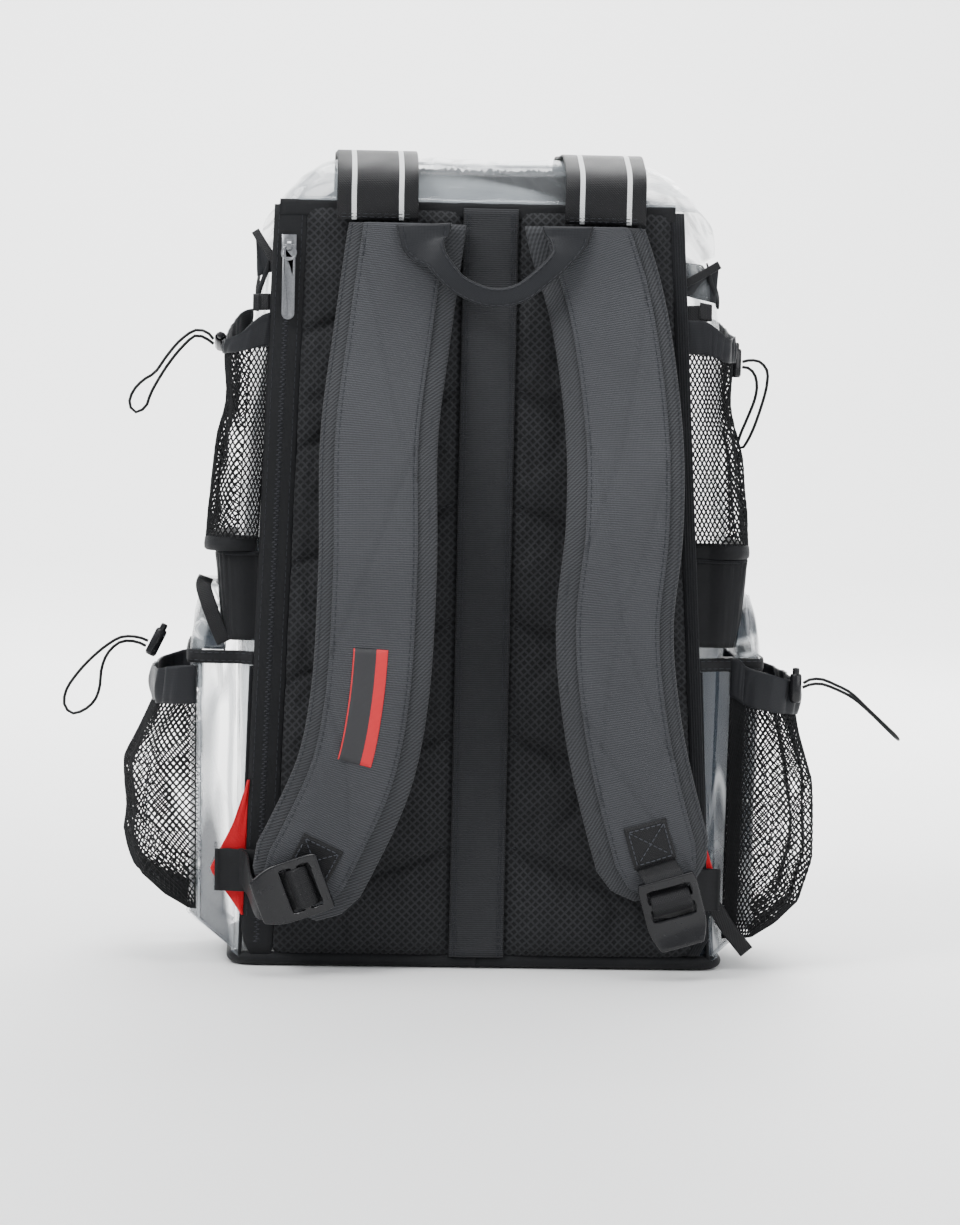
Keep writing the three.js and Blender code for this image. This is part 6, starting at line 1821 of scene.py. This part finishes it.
class BAG_OT_clear_pockets(BagPiece, bpy.types.Operator):
    """Makes the clear side pockets with their tops, tapes, seams and small straps"""

    bl_idname = "backpack.clear_pockets"
    bl_label = "Clear pockets"

    def build(self, sizes):
        for side in SIDES:
            self.box(side, sizes)
            self.top(side, sizes)
            self.seams(side, sizes)

    def level(self, side, q, v):
        """Height on a pocket's wall: its outer bottom edge stands higher than the inner one."""
        p = pocket_point(side, q, 60)
        out = max((abs(p.x) - body_half(60)) / POCKET_REACH[side], -0.2)
        return mix(mix(9, 31, out), POCKET_TOP, v)

    def box(self, side, sizes):
        rows = []
        for v in spaced(40):
            row = []
            for q in spaced(96, -0.4, 4.98):
                z = self.level(side, q, v)
                p = pocket_point(side, q, z)
                fold = abs(crumple(p, sizes, 9 + SIGN[side])) * math.sin(math.pi * v) * 0.8
                row.append(pocket_point(side, q, z, -0.2 - fold))
            rows.append(row)
        floor_row = [Vector((SIGN[side] * (body_half(20) + 2), p.y, 9.6)) for p in rows[0]]
        rows.insert(0, [a.lerp(b, 0.5) for a, b in zip(rows[0], floor_row)])
        rows.insert(0, floor_row)
        piece = sheet_piece(
            "vinyl_pocket_" + side, rows, "vinyl", "clear_vinyl", ["clear_pocket_" + side], sizes.vinyl / MM,
            inward=True, away=pocket_away(side))

    def top(self, side, sizes):
        """Puffed clear top of a pocket with a pinch that gathers its vinyl."""
        rings = []
        for v in spaced(22):
            rise = table(v, (0, 0.4, 0.75, 1), (0, 0.55, 0.9, 1))
            inset = 7.7 * rise ** 2.2
            z = mix(196.4, 235.6, rise)
            gap = 7.5 + 5.5 * clamp((z - BAND_BOTTOM) / 55)
            ring = []
            for q in spaced(64, 0, 5):
                p = pocket_point(side, q, z, -0.4, inset)
                least = body_half(z) + gap
                x = max(abs(p.x), least)
                around = math.cos((q - 2.2) * 9) * 1.2 * math.sin(math.pi * clamp(v))
                dent = abs(crumple(p, sizes, 3 - SIGN[side])) * 0.8 * ease(v * 4)
                ring.append(Vector((SIGN[side] * max(x - dent - abs(around), least), p.y + 0.6 * around, z)))
            body_x = SIGN[side] * (body_half(z) + gap)
            rear_y, front_y = ring[0].y, ring[-1].y
            for share in spaced(14, 0.93, 0.07):
                ring.append(Vector((body_x, mix(rear_y, front_y, share), z)))
            rings.append(ring)
        name = "pocket_hump_" + side
        piece = settle(
            name, grid_mesh(name, rings, wrap=True), "curled_vinyl", "clear_vinyl", ["pocket_lid_" + side])
        close_top(piece, len(rings[0]))
        apply_modifier(piece, "SOLIDIFY", thickness=sizes.vinyl, offset=-1, use_rim=True)

    def seams(self, side, sizes):
        rows = []
        for v in spaced(5):
            rows.append([
                pocket_point(side, q, mix(188, 196, v), 0.5 + 0.5 * math.sin(math.pi * v))
                for q in spaced(76, -0.4, 4.6)])
        sheet_piece(
            "pocket_zip_band_" + side, rows, "nylon", "black_fabric", ["pocket_tape_" + side], 0.9,
            away=pocket_away(side))
        runs = [[
            (pocket_point(side, q, z, 1.8), pocket_point(side, q, z, 1) - pocket_point(side, q, z))
            for q in spaced(32, -0.35, 4.5)] for z in (189.6, 194.4)]
        stitches("pocket_stitches_" + side, runs, sizes.stitch / MM)
        for name, q, radius in (("rear", 1.25, 0.9), ("front", 3.75, 0.9), ("inner", -0.34, 1.2)):
            points = [pocket_point(side, q, z, 0.4) for z in spaced(14, self.level(side, q, 0) + 1, 187)]
            look = ("elastic", "black_fabric") if name == "inner" else ("lid_vinyl", "clear_vinyl")
            tube_piece(f"pocket_seam_{name}_{side}", points, radius, *look, sides=8, steps=50)
        bottom = [pocket_point(side, q, self.level(side, q, 0.0) + 0.6, 0.3) for q in spaced(24, -0.36, 4.9)]
        tube_piece("pocket_seam_low_" + side, bottom, 1.4, "lid_vinyl", "clear_vinyl", sides=8, steps=110)
        self.strap(side)

    def strap(self, side):
        """Narrow strap: over the left pocket's top, and at the foot of the right one."""
        sign = SIGN[side]
        if side == "left":
            route = [
                (-160, -66.5, 201), (-165, -67.2, 212), (-170, -66.8, 225), (-173.5, -62, 236),
                (-172, -54, 240.5)]
        else:
            route = [(147, -72, 43), (151, -71.5, 38), (158, -69.5, 27), (166, -67.2, 17), (171, -64, 11)]
        line = Line(route)
        stations = []
        for t in spaced(24):
            way = line.along(t)
            across = FACING.cross(way).normalized()
            stations.append((line.at(t), across, across.cross(way).normalized() * -sign, 1.0))
        band_piece("pocket_strap_" + side, stations, 4.8, 1.3, "webbing", "black_webbing")


class BAG_OT_lower_nets(BagPiece, bpy.types.Operator):
    """Makes the open lower net pockets and their gathered bands"""

    bl_idname = "backpack.lower_nets"
    bl_label = "Lower net pockets"

    low = {"left": 34, "right": 20}
    bulge = {"left": 40, "right": 34}
    start = {"left": 1.4, "right": 0.35}
    mouth = 22

    def rise(self, side, q):
        """The right pocket's band climbs towards the panel."""
        return 11 * (1 - ease(q / 1.9)) if side == "right" else 0

    def spread(self, side, q):
        arch = math.sin(math.pi * clamp((q - self.start[side]) / (3.7 - self.start[side]))) ** 0.5
        return arch * mix(0.2, 1, ease((q - 0.9) / 1.1))

    def build(self, sizes):
        cell = sizes.net_cell / MM / 2
        for side in SIDES:
            def place(u, v, side=side):
                q = mix(self.start[side], 3.7, u)
                low = self.low[side]
                shape = table(v, (0, 0.06, 0.16, 0.35, 0.7, 1),
                                        (0.02, 0.42, 0.82, 1, 0.95, self.mouth / self.bulge[side]))
                fold = 2.0 * math.sin(q * 13 + 2 * math.sin(v * 4))
                fold += 2.6 * ripple(q * 40, 0, v * 130, 30, SIGN[side])
                hold = math.sin(math.pi * clamp(v))
                offset = 0.6 + self.spread(side, q) * (shape * self.bulge[side] + fold * hold)
                return pocket_point(side, q, mix(low, 163, v) + self.rise(side, q) * v ** 2, offset)

            width = {"left": 205, "right": 236}[side]
            height = 163 - self.low[side] + 14
            piece = net_mesh(
                "open_net_lower_" + side, place, int(width / cell), int(height / cell), sizes.net_strand)
            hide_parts("lower_net_" + side)
            self.band(side)

    def band(self, side):
        rows = []
        for v in spaced(12):
            row = []
            for q in spaced(170, self.start[side], 3.7):
                gather = gathers(q, v, SIGN[side])
                fall = self.spread(side, q) ** 2 * mix(1, 6, v)
                z = mix(162.3, 187.3, v) + 2.4 * ripple(q * 30, 0, 0, 14, SIGN[side]) * v
                z += self.rise(side, q) - fall
                row.append(pocket_point(side, q, z, 0.6 + self.spread(side, q) * (self.mouth + gather - 0.6)))
            rows.append(row)
        piece = sheet_piece(
            "gathered_mouth_" + side, rows, "lining", "black_fabric", ["lower_net_band_" + side], 1.0,
            away=pocket_away(side))


class BAG_OT_cord_locks(BagPiece, bpy.types.Operator):
    """Makes the cord locks and their buttons"""

    bl_idname = "backpack.cord_locks"
    bl_label = "Cord locks"

    def build(self, sizes):
        for name in CORD_ROUTES:
            for node, label, body in (
                ("cord_lock_" + name, "lock_barrel_" + name, BODY),
                ("plunger_" + name, "lock_button_" + name, "plunger_" + name),
            ):
                piece = copy_of_node(node, label, 0.0005, 2, 2)
                smooth(piece, 50)
                dress(piece, "plastic", "black_plastic", [node], body)


class BAG_PT_panel(bpy.types.Panel):
    """Sidebar panel with the bag's sizes, colours and pieces"""

    bl_idname = "BAG_PT_panel"
    bl_label = "Clear Stadium Backpack"
    bl_space_type = "VIEW_3D"
    bl_region_type = "UI"
    bl_category = "Backpack"

    def draw(self, context):
        for group in (context.scene.backpack_sizes, context.scene.backpack_colours):
            box = self.layout.box()
            for key in group.__annotations__:
                box.prop(group, key)
        for operator in OPERATORS:
            self.layout.operator(operator.bl_idname)


OPERATORS = (
    STAGE_OT_camera, BAG_OT_cords, STAGE_OT_floor, BAG_OT_back_panel, BAG_OT_spine, BAG_OT_zip,
    BAG_OT_clear_body, BAG_OT_mouth, BAG_OT_waist_band, BAG_OT_straps, BAG_OT_harness, BAG_OT_top_webs,
    BAG_OT_upper_nets, BAG_OT_clear_pockets, BAG_OT_lower_nets, BAG_OT_cord_locks,
)
CLASSES = (BackpackSizes, BackpackColours, *OPERATORS, BAG_PT_panel)


def register():
    for cls in CLASSES:
        bpy.utils.register_class(cls)
    bpy.types.Scene.backpack_sizes = PointerProperty(type=BackpackSizes)
    bpy.types.Scene.backpack_colours = PointerProperty(type=BackpackColours)


def unregister():
    del bpy.types.Scene.backpack_colours
    del bpy.types.Scene.backpack_sizes
    for cls in reversed(CLASSES):
        bpy.utils.unregister_class(cls)


def main():
    register()
    scene = bpy.context.scene
    make_finishes(scene.backpack_colours, scene.backpack_sizes)
    for operator in OPERATORS:
        group, name = operator.bl_idname.split(".")
        getattr(getattr(bpy.ops, group), name)()


if __name__ == "__main__":
    main()
